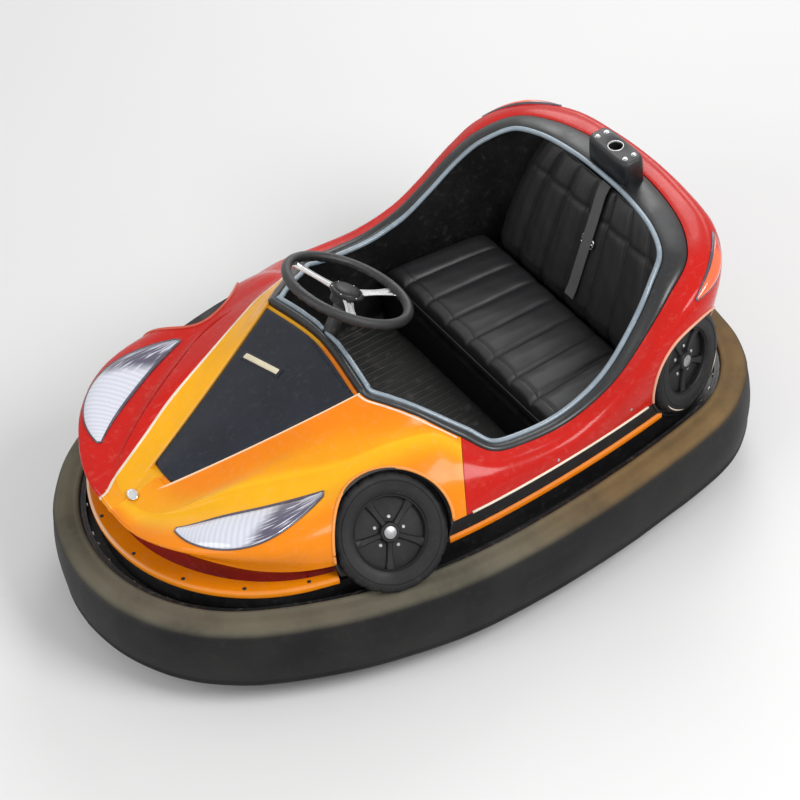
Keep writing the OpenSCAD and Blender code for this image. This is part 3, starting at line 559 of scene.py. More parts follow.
def new_material(name):
    """Empty node material with a Principled shader. Returns material, tree and shader."""
    mat = bpy.data.materials.new(FINISH + name)
    mat.use_nodes = True
    tree = mat.node_tree
    tree.nodes.clear()
    out = tree.nodes.new("ShaderNodeOutputMaterial")
    shader = tree.nodes.new("ShaderNodeBsdfPrincipled")
    tree.links.new(shader.outputs[0], out.inputs[0])
    return mat, tree, shader


def finish(shader, tree, colour, rough, height=None, bump=0.1, depth=0.001, **constants):
    """Feeds a shader its colour, roughness and bump, and sets its constant sockets."""
    tree.links.new(colour, shader.inputs["Base Color"])
    tree.links.new(rough, shader.inputs["Roughness"])
    if height is not None:
        normal = put(tree, "ShaderNodeBump", {"Strength": bump, "Distance": depth,
            "Height": height}).outputs[0]
        tree.links.new(normal, shader.inputs["Normal"])
    for key, value in constants.items():
        shader.inputs[key.replace("_", " ")].default_value = value


def surface(name, colour, worn, rough, metallic=0.0, grain=0.0, scale=1.0, spots=0.35,
        scratches=0.4, bump=0.1, coat=0.0, coat_rough=0.1, spec=0.5):
    """General finish: a colour that goes towards a worn one in spots, smudges and scratches."""
    mat, tree, shader = new_material(name)
    old = use_group(tree, "weathering", Scale=scale, Spots=spots, Scratches=scratches)
    dim = [c * 0.72 for c in colour]
    tint = mixed(tree, old["Smudge"], dim, colour)
    both = larger(tree, old["Spots"], old["Scratches"])
    tint = mixed(tree, both, tint, worn)
    gloss = band(tree, plus(tree, old["Smudge"], both), 0.1, 1.3, rough[0], rough[1])
    height = old["Height"]
    if grain:
        height = plus(tree, times(tree, height, 0.3), use_group(tree, "grain",
            Scale=grain)["Height"])
    finish(shader, tree, tint, gloss, height, bump, 0.0006, Metallic=metallic, Coat_Weight=coat,
        Coat_Roughness=coat_rough, Specular_IOR_Level=spec)
    return mat


def gel_coat():
    """Gel coat of all the coloured mouldings, painted by the attributes for yellow, red and line:
    the yellow share also carries painted light and shade, and the line is a painted highlight.
    """
    mat, tree, shader = new_material("gel_coat")
    paint = settings().paint
    old = use_group(tree, "weathering", Scale=0.9, Spots=0.2, Scratches=0.3)
    # yellow share: the yellow band's own paint, and painted light and shade on the left side
    colour = mixed(tree, attribute(tree, "yellow_and_light"), paint.orange, paint.yellow)
    colour = mixed(tree, attribute(tree, "red"), colour, paint.red)
    colour = mixed(tree, times(tree, old["Smudge"], 0.22), colour, mixed(tree, 0.55, colour,
        (0.02, 0.01, 0.005)))
    # painted highlight: pale line along the edges and creases
    colour = mixed(tree, attribute(tree, "line"), colour, paint.line)
    marks = larger(tree, old["Spots"], old["Scratches"])
    colour = mixed(tree, times(tree, marks, 0.28), colour, (0.62, 0.52, 0.42))
    rough = band(tree, plus(tree, old["Smudge"], marks), 0.2, 1.4, 0.2, 0.42)
    finish(shader, tree, colour, rough, old["Height"], 0.03, 0.0005, Coat_Weight=0.15,
        Coat_Roughness=0.06, Specular_IOR_Level=0.15)
    return mat


def bumper_rubber():
    """Black rubber with a dusty top, scuffed walls and a browner tail."""
    mat, tree, shader = new_material("bumper_rubber")
    paint = settings().paint
    old = use_group(tree, "weathering", Scale=0.8, Spots=0.6, Scratches=0.8)
    grain = use_group(tree, "grain", Scale=0.55)
    dust = mixed(tree, attribute(tree, "tail"), paint.dust, paint.tan)
    dust = mixed(tree, old["Smudge"], mixed(tree, 0.45, dust, (0.03, 0.028, 0.022)), dust)
    black = mixed(tree, old["Smudge"], (0.008, 0.008, 0.0085), (0.017, 0.0165, 0.016))
    scuff = times(tree, larger(tree, old["Scratches"], old["Spots"]), 0.22)
    black = mixed(tree, scuff, black, (0.06, 0.058, 0.053))
    cover = times(tree, attribute(tree, "dusty"), band(tree, plus(tree, old["Smudge"],
        old["Height"]), 0.25, 0.8, 0.82, 1.0))
    colour = mixed(tree, cover, black, dust)
    rough = plus(tree, times(tree, cover, 0.3), 0.52, clamp=True)
    height = plus(tree, grain["Height"], old["Height"])
    finish(shader, tree, colour, rough, height, 0.22, 0.0008, Specular_IOR_Level=0.16)
    return mat


def lamp_glass(name, clear, clouded, glow):
    """Lamp lens: bright in front, clouded behind, with the ribs of its reflector."""
    mat, tree, shader = new_material(name)
    along = attribute(tree, "along")
    across = attribute(tree, "across")
    place = put(tree, "ShaderNodeCombineXYZ", {0: along, 1: across}).outputs[0]
    ribs = put(tree, "ShaderNodeTexWave", {"Vector": place, "Scale": 9.0, "Distortion": 1.2,
        "Detail": 1.0}).outputs["Fac"]
    flecks = noise(tree, place, 6.0, 3.0)
    rear = band(tree, plus(tree, along, times(tree, across, 0.08)), 0.60, 0.72)
    behind = mixed(tree, band(tree, flecks, 0.50, 0.64), clouded, clear)
    front = mixed(tree, times(tree, ribs, 0.16), clear, clouded)
    colour = mixed(tree, rear, front, behind)
    finish(shader, tree, colour, band(tree, ribs, 0, 1, 0.08, 0.16), ribs, 0.12, 0.0008,
        Coat_Weight=1.0, Coat_Roughness=0.03)
    shader.inputs["Emission Strength"].default_value = glow
    tree.links.new(mixed(tree, rear, front, (0.0, 0.0, 0.0)), shader.inputs["Emission Color"])
    return mat


def stitched_vinyl():
    """Black seat vinyl with grain, paler worn crowns and dull dust in the channels."""
    mat, tree, shader = new_material("seat_vinyl")
    old = use_group(tree, "weathering", Scale=0.7, Spots=0.3, Scratches=0.25)
    grain = use_group(tree, "grain", Scale=0.9)
    crown = attribute(tree, "crown")
    colour = mixed(tree, old["Smudge"], (0.006, 0.006, 0.007), (0.014, 0.014, 0.0155))
    colour = mixed(tree, times(tree, crown, 0.35), colour, (0.035, 0.035, 0.037))
    colour = mixed(tree, times(tree, old["Spots"], 0.5), colour, (0.06, 0.058, 0.052))
    rough = band(tree, plus(tree, old["Smudge"], crown), 0.0, 2.0, 0.56, 0.38)
    finish(shader, tree, colour, rough, grain["Height"], 0.16, 0.0006, Specular_IOR_Level=0.45)
    return mat


def webbing():
    """Grey webbing with a woven rib."""
    mat, tree, shader = new_material("webbing")
    old = use_group(tree, "weathering", Scale=1.2, Spots=0.4, Scratches=0.2)
    along, across = attribute(tree, "along"), attribute(tree, "across")
    weave = put(tree, "ShaderNodeTexWave", {"Vector": put(tree, "ShaderNodeCombineXYZ",
        {0: times(tree, along, 30.0), 1: times(tree, across, 2.0)}).outputs[0], "Scale": 2.0,
        "Distortion": 0.0}, wave_type="BANDS", bands_direction="DIAGONAL").outputs["Fac"]
    colour = mixed(tree, weave, (0.045, 0.045, 0.047), (0.15, 0.15, 0.155))
    colour = mixed(tree, old["Spots"], colour, (0.03, 0.03, 0.028))
    finish(shader, tree, colour, band(tree, weave, 0, 1, 0.7, 0.9), weave, 0.4, 0.0008)
    return mat


def mat_rubber():
    """Ribbed floor mat and small rubber parts, trodden grey."""
    mat, tree, shader = new_material("mat_rubber")
    old = use_group(tree, "weathering", Scale=0.6, Spots=0.9, Scratches=0.7)
    colour = mixed(tree, old["Smudge"], (0.010, 0.010, 0.010), (0.032, 0.031, 0.028))
    colour = mixed(tree, larger(tree, old["Spots"], old["Scratches"]), colour, (0.085, 0.08, 0.07))
    finish(shader, tree, colour, band(tree, old["Smudge"], 0, 1, 0.6, 0.85), old["Height"], 0.3,
        0.0008)
    return mat


# Colour, worn colour, roughness of the cleanest and the most worn spots, and what differs from
# the usual finish. The hood panel's colour comes from the settings.
SURFACES = {
    "mouth_red": ((0.17, 0.003, 0.005), (0.26, 0.04, 0.04), (0.2, 0.4),
        dict(coat=0.15, spots=0.3, spec=0.2)),
    "hood_charcoal": (None, (0.05, 0.055, 0.065), (0.25, 0.45),
        dict(coat=0.1, coat_rough=0.16, spots=0.25, scratches=0.4, spec=0.25)),
    "coaming_black": ((0.009, 0.0095, 0.011), (0.05, 0.052, 0.056), (0.3, 0.55),
        dict(grain=0.8, bump=0.14, spots=0.3)),
    "piping_grey": ((0.25, 0.31, 0.36), (0.42, 0.46, 0.5), (0.24, 0.45),
        dict(coat=0.3, spots=0.4, scratches=0.5)),
    "liner_black": ((0.007, 0.007, 0.008), (0.045, 0.044, 0.042), (0.45, 0.7),
        dict(grain=0.6, bump=0.2, spots=0.45)),
    "black_moulding": ((0.008, 0.008, 0.009), (0.05, 0.05, 0.05), (0.4, 0.65),
        dict(grain=1.0, bump=0.12, spec=0.3)),
    "wheel_black": ((0.008, 0.008, 0.009), (0.04, 0.04, 0.042), (0.5, 0.75),
        dict(grain=1.2, bump=0.1, spots=0.35, spec=0.3)),
    "bright_metal": ((0.72, 0.72, 0.73), (0.45, 0.44, 0.42), (0.16, 0.42),
        dict(metallic=1.0, spots=0.4, scratches=0.6)),
    "cast_metal": ((0.42, 0.42, 0.43), (0.2, 0.19, 0.18), (0.4, 0.65),
        dict(metallic=0.9, spots=0.6, bump=0.25)),
    "cream_plastic": ((0.78, 0.70, 0.50), (0.55, 0.48, 0.34), (0.25, 0.45), dict(coat=0.3)),
    # pale finish of the foot piping, and of the strips and streaks painted on as highlights
    "pale_trim_and_highlight": ((0.80, 0.70, 0.56), (0.55, 0.4, 0.3), (0.25, 0.5), dict(coat=0.3, spots=0.4)),
    "lamp_bezel": ((0.06, 0.05, 0.075), (0.16, 0.14, 0.18), (0.15, 0.35), dict(coat=0.5)),
    "grip_black": ((0.009, 0.009, 0.0095), (0.06, 0.058, 0.055), (0.35, 0.55),
        dict(grain=1.6, bump=0.3, spots=0.35)),
    "steel_black": ((0.014, 0.014, 0.015), (0.16, 0.12, 0.09), (0.4, 0.62),
        dict(metallic=0.15, spots=0.4, scratches=0.7)),
    "steel_zinc": ((0.5, 0.5, 0.5), (0.25, 0.2, 0.14), (0.3, 0.55), dict(metallic=1.0, spots=0.6)),
    "tyre_black": ((0.010, 0.010, 0.010), (0.09, 0.085, 0.075), (0.6, 0.85),
        dict(grain=0.7, bump=0.25, spots=0.8)),
    "battery_case": ((0.03, 0.035, 0.045), (0.12, 0.12, 0.11), (0.35, 0.6), dict(spots=0.5)),
    "motor_grey": ((0.11, 0.12, 0.13), (0.2, 0.18, 0.15), (0.4, 0.65),
        dict(metallic=0.6, bump=0.3, spots=0.6)),
}
SPECIAL_FINISHES = {
    "gel_coat": gel_coat, "bumper_rubber": bumper_rubber, "seat_vinyl": stitched_vinyl,
    "webbing": webbing, "mat_rubber": mat_rubber,
    "head_lens": lambda: lamp_glass("head_lens", (0.60, 0.62, 0.70), (0.06, 0.05, 0.095), 0.03),
    "tail_lens": lambda: lamp_glass("tail_lens", (0.80, 0.10, 0.015), (0.55, 0.03, 0.01), 0.12),
}


def material(name):
    """A finish by name, made the first time it is asked for."""
    made = bpy.data.materials.get(FINISH + name)
    if made is None and name in SURFACES:
        colour, worn, rough, more = SURFACES[name]
        made = surface(name, colour or tuple(settings().paint.panel), worn, rough, **more)
    return made or SPECIAL_FINISHES[name]()


def dress(node, name):
    """Gives a CAD node its finish."""
    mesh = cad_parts[node].data
    mesh.materials.clear()
    mesh.materials.append(material(name))


# Fasteners and other repeated pieces, by geometry nodes

def repeat_group():
    """Geometry nodes that put one object on every point, aimed and sized by attributes."""
    tree = bpy.data.node_groups.new("repeat_on_points", "GeometryNodeTree")
    for label, kind in (("Geometry", "NodeSocketGeometry"), ("Piece", "NodeSocketObject"),
            ("Size", "NodeSocketFloat"), ("Spin", "NodeSocketFloat"), ("Seed", "NodeSocketInt"),
            ("Finish", "NodeSocketMaterial")):
        tree.interface.new_socket(label, in_out="INPUT", socket_type=kind)
    tree.interface.new_socket("Geometry", in_out="OUTPUT", socket_type="NodeSocketGeometry")
    put_in, put_out = tree.nodes.new("NodeGroupInput"), tree.nodes.new("NodeGroupOutput")
    source = put(tree, "GeometryNodeObjectInfo", {"Object": put_in.outputs["Piece"]})
    aim = put(tree, "GeometryNodeInputNamedAttribute", {"Name": "aim"}, data_type="FLOAT_VECTOR")
    size = put(tree, "GeometryNodeInputNamedAttribute", {"Name": "size"}, data_type="FLOAT_VECTOR")
    turn = put(tree, "FunctionNodeAlignRotationToVector", {"Vector": aim.outputs[0]}, axis="Z")
    chance = put(tree, "FunctionNodeRandomValue", {"Seed": put_in.outputs["Seed"]},
        data_type="FLOAT")
    angle = times(tree, chance.outputs[1], put_in.outputs["Spin"])
    spin = put(tree, "FunctionNodeAxisAngleToRotation", {"Axis": (0, 0, 1), "Angle": angle})
    both = put(tree, "FunctionNodeRotateRotation", {0: turn.outputs[0], 1: spin.outputs[0]},
        rotation_space="LOCAL")
    scale = put(tree, "ShaderNodeVectorMath", {0: size.outputs[0]}, operation="SCALE")
    tree.links.new(put_in.outputs["Size"], scale.inputs["Scale"])
    on = put(tree, "GeometryNodeInstanceOnPoints", {"Points": put_in.outputs["Geometry"],
        "Instance": source.outputs["Geometry"], "Rotation": both.outputs[0],
        "Scale": scale.outputs[0]})
    real = put(tree, "GeometryNodeRealizeInstances", {0: on.outputs[0]})
    done = put(tree, "GeometryNodeSetMaterial", {"Geometry": real.outputs[0],
        "Material": put_in.outputs["Finish"]})
    tree.links.new(done.outputs[0], put_out.inputs[0])
    return tree


def repeated(name, made, points, aims, finish_name, body="chassis", size=1.0,
        sizes=None, spin=6.283, seed=7):
    """Puts a small made piece (points and faces, in millimetres) on every point."""
    tree = bpy.data.node_groups.get("repeat_on_points") or repeat_group()
    proto = bpy.data.meshes.new(name + "_one")
    proto.from_pydata((np.asarray(made[0], float) * MM).tolist(), [],
        [list(map(int, f)) for f in made[1]])
    proto.polygons.foreach_set("use_smooth", np.full(len(proto.polygons), True))
    one = sharpen(placed(name + "_one", proto), 30)
    points = np.asarray(points, float).reshape(-1, 3)
    aims = np.broadcast_to(np.asarray(aims, float), points.shape)
    sizes = np.ones(points.shape) if sizes is None else np.asarray(sizes, float)
    mesh = bpy.data.meshes.new(name)
    mesh.from_pydata((points * MM).tolist(), [], [])
    for key, values in (("aim", aims), ("size", sizes)):
        layer = mesh.attributes.new(key, "FLOAT_VECTOR", "POINT")
        layer.data.foreach_set("vector", np.ascontiguousarray(values, np.float32).ravel())
    obj = placed(name, mesh)
    mod = obj.modifiers.new("repeat", "NODES")
    mod.node_group = tree
    values = {"Piece": one, "Size": size, "Spin": spin, "Seed": seed,
        "Finish": material(finish_name)}
    for item in tree.interface.items_tree:
        if item.in_out == "INPUT" and item.name in values:
            mod[item.identifier] = values[item.name]
    shaped = obj.evaluated_get(bpy.context.evaluated_depsgraph_get())
    plain = bpy.data.meshes.new_from_object(shaped)
    obj.modifiers.clear()
    obj.data = plain
    bpy.data.objects.remove(one)
    return settle(obj, body)


def screw_head():
    """Domed cross-slot screw of unit radius, about 10 units tall in all."""
    dome, deep, steps = 0.42, 0.28, 16
    bm = bmesh.new()
    rings = [(0.30, dome), (0.62, dome * 0.86), (0.86, dome * 0.55), (1.0, 0.12), (1.0, -0.35)]
    grid = [[bm.verts.new((rr * math.cos(a), rr * math.sin(a), h - (deep if rr < 0.5 and k % 4 == 0
        else 0))) for k, a in enumerate(circle(steps))] for rr, h in rings]
    top = bm.verts.new((0, 0, dome - deep))
    for k in range(steps):
        bm.faces.new((top, grid[0][k], grid[0][(k + 1) % steps]))
        for i in range(len(rings) - 1):
            bm.faces.new((grid[i][k], grid[i + 1][k], grid[i + 1][(k + 1) % steps],
                grid[i][(k + 1) % steps]))
    bm.faces.new(list(reversed(grid[-1])))
    bm.verts.index_update()
    out = [tuple(v.co) for v in bm.verts], [tuple(v.index for v in f.verts) for f in bm.faces]
    bm.free()
    return out


def hex_bolt():
    """Hexagon head on its washer, of unit radius."""
    washer = [(0.01, -0.1), (1.35, -0.1), (1.35, 0.06), (1.25, 0.12), (0.01, 0.12)]
    head = [(0.01, 0.1), (1.0, 0.1), (1.0, 0.62), (0.86, 0.74), (0.01, 0.74)]
    return joined([lathe(washer, 24), lathe(head, 6)])


def bolts(name, points, aims, size, seed, body="chassis"):
    """Zinc-plated bolts on points, all of one size."""
    repeated(name, hex_bolt(), points, aims, "steel_zinc", body, size, seed=seed)


# Bodywork

def arch_frame(x, y, z, lean, toe):
    """Turn whose third column points outwards from a wheel recess, and its place."""
    turn = (Matrix.Rotation(math.radians(toe), 3, "Z") @ Matrix.Rotation(math.radians(lean - 90),
        3, "X"))
    return np.array(turn), np.array([x, y, z], float)


ARCHES = [(*arch_frame(250, 406, 346, 38, -8), 136.0), (*arch_frame(-543, 392, 358, 8, 20), 128.0)]


COLLAR_TOP = -3.8       # in an arch's own frame


def in_arch(points, arch):
    """Points of the left side in an arch's own frame."""
    turn, place = arch[:2]
    return (np.asarray(points) - place) @ turn


def within(points, arch, room, depth):
    """Which points of the left side lie in a wheel opening, no deeper than its depth."""
    q = in_arch(points, arch)
    return (np.hypot(q[..., 0], q[..., 1]) < arch[2] + room) & (q[..., 2] > depth)


def off_arches(points, room):
    """Which points, of either side, are clear of the wheel openings."""
    left = sided(points, np.where(points[..., 1] < 0, -1, 1))
    return np.all([np.hypot(*in_arch(left, a)[..., :2].T) > a[2] + room for a in ARCHES], axis=0)


def on_arch(u, w, arch):
    """Newton step that brings section and sweep to the edge of an arch, along the skin."""
    for _ in range(5):
        def radius(uu, ww):
            q = in_arch(skin(uu, ww), arch)
            return np.hypot(q[..., 0], q[..., 1])
        r = radius(u, w)
        h = np.where(w > 89.5, -0.2, 0.2)
        du = (radius(u + 0.02, w) - r) / 0.02
        dw = (radius(u, w + h) - r) / h
        lu = np.linalg.norm(skin(u + 0.02, w) - skin(u, w), axis=-1) / 0.02
        lw = np.linalg.norm(skin(u, w + h) - skin(u, w), axis=-1) / 0.2
        gu = du / np.maximum(lu, 1e-3) ** 2
        gw = np.where(w > 89.99, 0, dw / np.maximum(lw, 1e-3) ** 2)
        step = np.clip((arch[2] - r) / np.maximum(du * gu + dw * gw, 0.05), -12, 12)
        u = u + step * gu
        w = np.clip(w + step * gw, 0, 90)
    return u, w


def arch_edge(arch):
    """Section and sweep of the points of an arch's edge that lie on the skin."""
    side = 0.05
    us, ws = np.meshgrid(np.linspace(3, 20.5, 120), np.linspace(31, 89.5, 80), indexing="ij")
    q = in_arch(skin(us, ws), arch)
    near = np.where((q[..., 2] > -60)[..., None], q, 9999)
    out = []
    for a in np.linspace(-math.pi, math.pi, 160, endpoint=False):
        aim = arch[2] * np.array([math.cos(a), math.sin(a)])
        k = np.argmin(np.hypot(near[..., 0] - aim[0], near[..., 1] - aim[1]))
        u, w = us.flat[k], ws.flat[k]
        for _ in range(12):
            c = in_arch(skin(u, w), arch)[:2]
            cu = (in_arch(skin(u + 0.01, w), arch)[:2] - c) / 0.01
            cw = (in_arch(skin(u, min(w + side, 90)), arch)[:2]
                - c) / side if w < 90 - side else (c - in_arch(skin(u, w - side), arch)[:2]) / side
            step = np.linalg.lstsq(np.stack([cu, cw], 1), aim - c, rcond=None)[0]
            u, w = u + np.clip(step[0], -0.3, 0.3), np.clip(w + np.clip(step[1], -6, 6), 30, 90)
        if np.hypot(*(in_arch(skin(u, w), arch)[:2] - aim)) < 0.6:
            out.append((a, u, w))
    return np.array(out)


TOP_W = np.concatenate([span(0, 24.6, 44), [25.2, 26.4, 27.6, 28.6, 29.3, 29.7, 30.0]])
SIDE_D = np.array([1.2, 2.6, 4.5, 7, 10.5, 15])
SIDE_N = 26
ROUND = 5.0
SHELL_THICK, HOOD_DROP = 6.0, 9.0


def body_grid(us):
    """Section and sweep of every point of the shell, close together near the crease."""
    n = len(us)
    fine = 30 + 60 * np.linspace(0, 1, 500) ** 1.6
    dense = skin(us[:, None], fine[None])
    length = np.concatenate([np.zeros((n, 1)), np.cumsum(np.linalg.norm(np.diff(dense, axis=1),
        axis=-1), 1)], 1)
    side_w = np.empty((n, len(SIDE_D) + SIDE_N))
    for i in range(n):
        total = length[i, -1]
        near = SIDE_D * min(1, total / 60)
        d = np.concatenate([near, near[-1] + (total - near[-1]) * np.arange(1, SIDE_N + 1)
            / SIDE_N])
        side_w[i] = np.interp(d, length[i], fine)
    w = np.concatenate([np.broadcast_to(TOP_W, (n, len(TOP_W))), side_w], 1)
    u = np.broadcast_to(us[:, None], w.shape).copy()
    return u, w


def rounded_skin(u, w):
    """The skin with its crease rounded."""
    p = skin(u, w)
    mid = skin(u, np.full_like(w, CREASE_W))
    rim = skin(u, np.zeros_like(w))
    top_len = np.maximum(np.linalg.norm(mid - rim, axis=-1), 1)
    reach = np.minimum(ROUND, 0.3 * top_len)
    before = skin(u, CREASE_W * (1 - reach / top_len))
    # the side's first millimetres run straight out from the crease
    w_after = np.full_like(w, 30.0)
    low, high = np.full_like(w, 30.0), np.full_like(w, 60.0)
    for _ in range(18):
        w_after = (low + high) / 2
        far = np.linalg.norm(skin(u, w_after) - mid, axis=-1) > reach
        high = np.where(far, w_after, high)
        low = np.where(far, low, w_after)
    after = skin(u, w_after)
    dist = np.linalg.norm(p - mid, axis=-1) * np.where(w < 30, -1, 1)
    t = np.clip((dist + reach) / (2 * reach), 0, 1)[..., None]
    curve = (1 - t) ** 2 * before + 2 * t * (1 - t) * mid + t ** 2 * after
    near = (np.abs(dist) < reach)[..., None]
    return np.where(near, curve, p)


def body_shell(name, us, node):
    """One moulded half of the body, with the wheel openings cut and its edges snapped to them."""
    u, w = body_grid(us)
    side = np.where((u < 0) | (u > TAIL_U), -1, 1)
    near = near_u(u)
    mid_u = (near[:-1, :-1] + near[1:, 1:]) / 2
    mid_w = (w[:-1, :-1] + w[1:, 1:]) / 2
    keep = np.ones(mid_u.shape, bool)
    centres = skin(mid_u, mid_w)
    for arch in ARCHES:
        inside = within(centres, arch, 0, -60)
        keep &= ~inside
        gone = np.zeros(u.shape, bool)
        stay = np.zeros(u.shape, bool)
        for a, b in ((0, 0), (0, 1), (1, 0), (1, 1)):
            view = (slice(a, a + inside.shape[0]), slice(b, b + inside.shape[1]))
            gone[view] |= inside
            stay[view] |= ~inside
        edge = gone & (stay | (w >= 90))
        if edge.any():
            near[edge], w[edge] = on_arch(near[edge], w[edge], arch)
    outer = sided(rounded_skin(near, w), side)
    normal = sided(skin_normal(near, np.minimum(w, 89.5)), side)
    foot_side = normal * np.array([1, 1, 0.0])
    down = np.broadcast_to(np.array([0, 0, 1.0]), normal.shape)
    near_rim = np.clip(1 - w / 6, 0, 1)[..., None]
    near_foot = np.clip((w - 84) / 6, 0, 1)[..., None]
    way = unit(down * near_rim + (1 - near_rim) * ((1 - near_foot) * normal + near_foot
        * unit(foot_side)))
    inner = outer - SHELL_THICK * way
    if name == "front_shell":
        hood = (np.abs(u) < 0.99) & (w < 24.9)
        outer[..., 2] -= np.where(hood, HOOD_DROP, 0)
        round_hood = (np.abs(u) < 1.15) & (w < 25.5)
        inner[..., 2] -= np.where(round_hood, HOOD_DROP, 0)
    verts, faces, used = shell(outer, inner, keep)
    two_u = np.concatenate([(near * side).ravel()] * 2)[used]
    two_w = np.concatenate([w.ravel()] * 2)[used]
    yellow_and_light, red, line = paint_zones(two_u, two_w, name == "front_shell")
    return piece(name, (verts, faces), "gel_coat", node=node, sharp=38,
        attrs={"yellow_and_light": yellow_and_light, "red": red, "line": line})


def ease(x, a, b):
    t = np.clip((x - a) / (b - a), 0, 1)
    return t * t * (3 - 2 * t)


def paint_zones(u, w, front):
    """Yellow share, with painted light and shade, red, and painted highlight line by section and
    sweep. The left side has u above 0.
    """
    if not front:
        return np.zeros_like(u), np.ones_like(u), np.zeros_like(u)
    left = u > 0
    # on the left the yellow share is painted light: darker orange by the panel, lighter up to the
    # crease, a painted highlight just under it and painted shade further down the side; the yellow
    # band on the right is paint
    yellow_and_light_left = 0.12 + 0.45 * ease(u, 1.2, 6) * ease(w, 0, 22) + 0.5 * ease(w, 22, 29.5)
    side_light_left = 0.95 - 0.75 * ease(w, 31, 52)
    yellow_and_light = np.where(left, np.where(w < 30, yellow_and_light_left, side_light_left), 0.85)
    yellow_and_light = np.where(~left & (w > 30), 0.55, yellow_and_light)
    au = np.abs(u)
    split = smooth_path(FAR_LINE, 200)
    red = np.where(left, 0.0, ease(w - np.interp(au, split[:, 0], split[:, 1]), -0.3, 0.3))
    red = np.maximum(red, ease(-u, 8.9, 9.2))
    # painted highlight along the hood panel's edge, full on the left and faint on the right
    hood_edge_highlight = ease(-au, -1.16, -1.08) * ease(au, 0.99, 1.0) * ease(-w, -25.6, -25)
    line = np.where(left, hood_edge_highlight, 0.15 * hood_edge_highlight)
    return yellow_and_light, red, line


# section and sweep of the line that parts yellow and red on the right side; a pale highlight strip
# is painted along it
FAR_LINE = [(1.4, 88), (1.5, 62), (1.63, 40.2), (2.3, 28.2), (2.74, 23.8), (3.76, 20.3),
    (4.5, 14.5), (5.79, 10.5), (7.72, 7.7), (9.4, 6.2)]


def smooth_path(points, n):
    """Evenly sampled path through points, with its corners eased."""
    points = np.asarray(points, float)
    k = np.linspace(0, len(points) - 1, n)
    path = np.stack([np.interp(k, np.arange(len(points)), c) for c in points.T], 1)
    reach = n // (2 * len(points))
    padded = np.concatenate([2 * path[0] - path[reach:0:-1], path, 2 * path[-1]
        - path[-2:-reach - 2:-1]])
    kernel = np.ones(2 * reach + 1) / (2 * reach + 1)
    return np.stack([np.convolve(c, kernel, "valid") for c in padded.T], 1)


def painted_highlight_strip(name, points, width, side):
    """Thin pale strip on the skin, a painted highlight, along sections and sweeps, on one side of
    the car.
    """
    u, w = smooth_path(points, 220).T
    here, step = rounded_skin(u, w), 0.02
    du, dw = (skin(u + step, w) - skin(u, w)) / step, (skin(u, w + step) - skin(u, w)) / step
    normal = skin_normal(u, w)
    across = unit(np.cross(unit(np.gradient(here, axis=0)), normal))
    size = np.stack([du, dw], -1)
    back = np.linalg.pinv(size) @ across[..., None]
    rows = []
    for d, lift in ((-0.5, -0.4), (-0.42, 0.35), (0, 0.7), (0.42, 0.35), (0.5, -0.4), (0, -1.4)):
        near = rounded_skin(u + d * width * back[:, 0, 0], w + d * width * back[:, 1, 0])
        rows.append(near + normal * lift)
    grid = sided(np.stack(rows, 1), side)
    return piece(name, ring(grid, closed=False), "pale_trim_and_highlight")


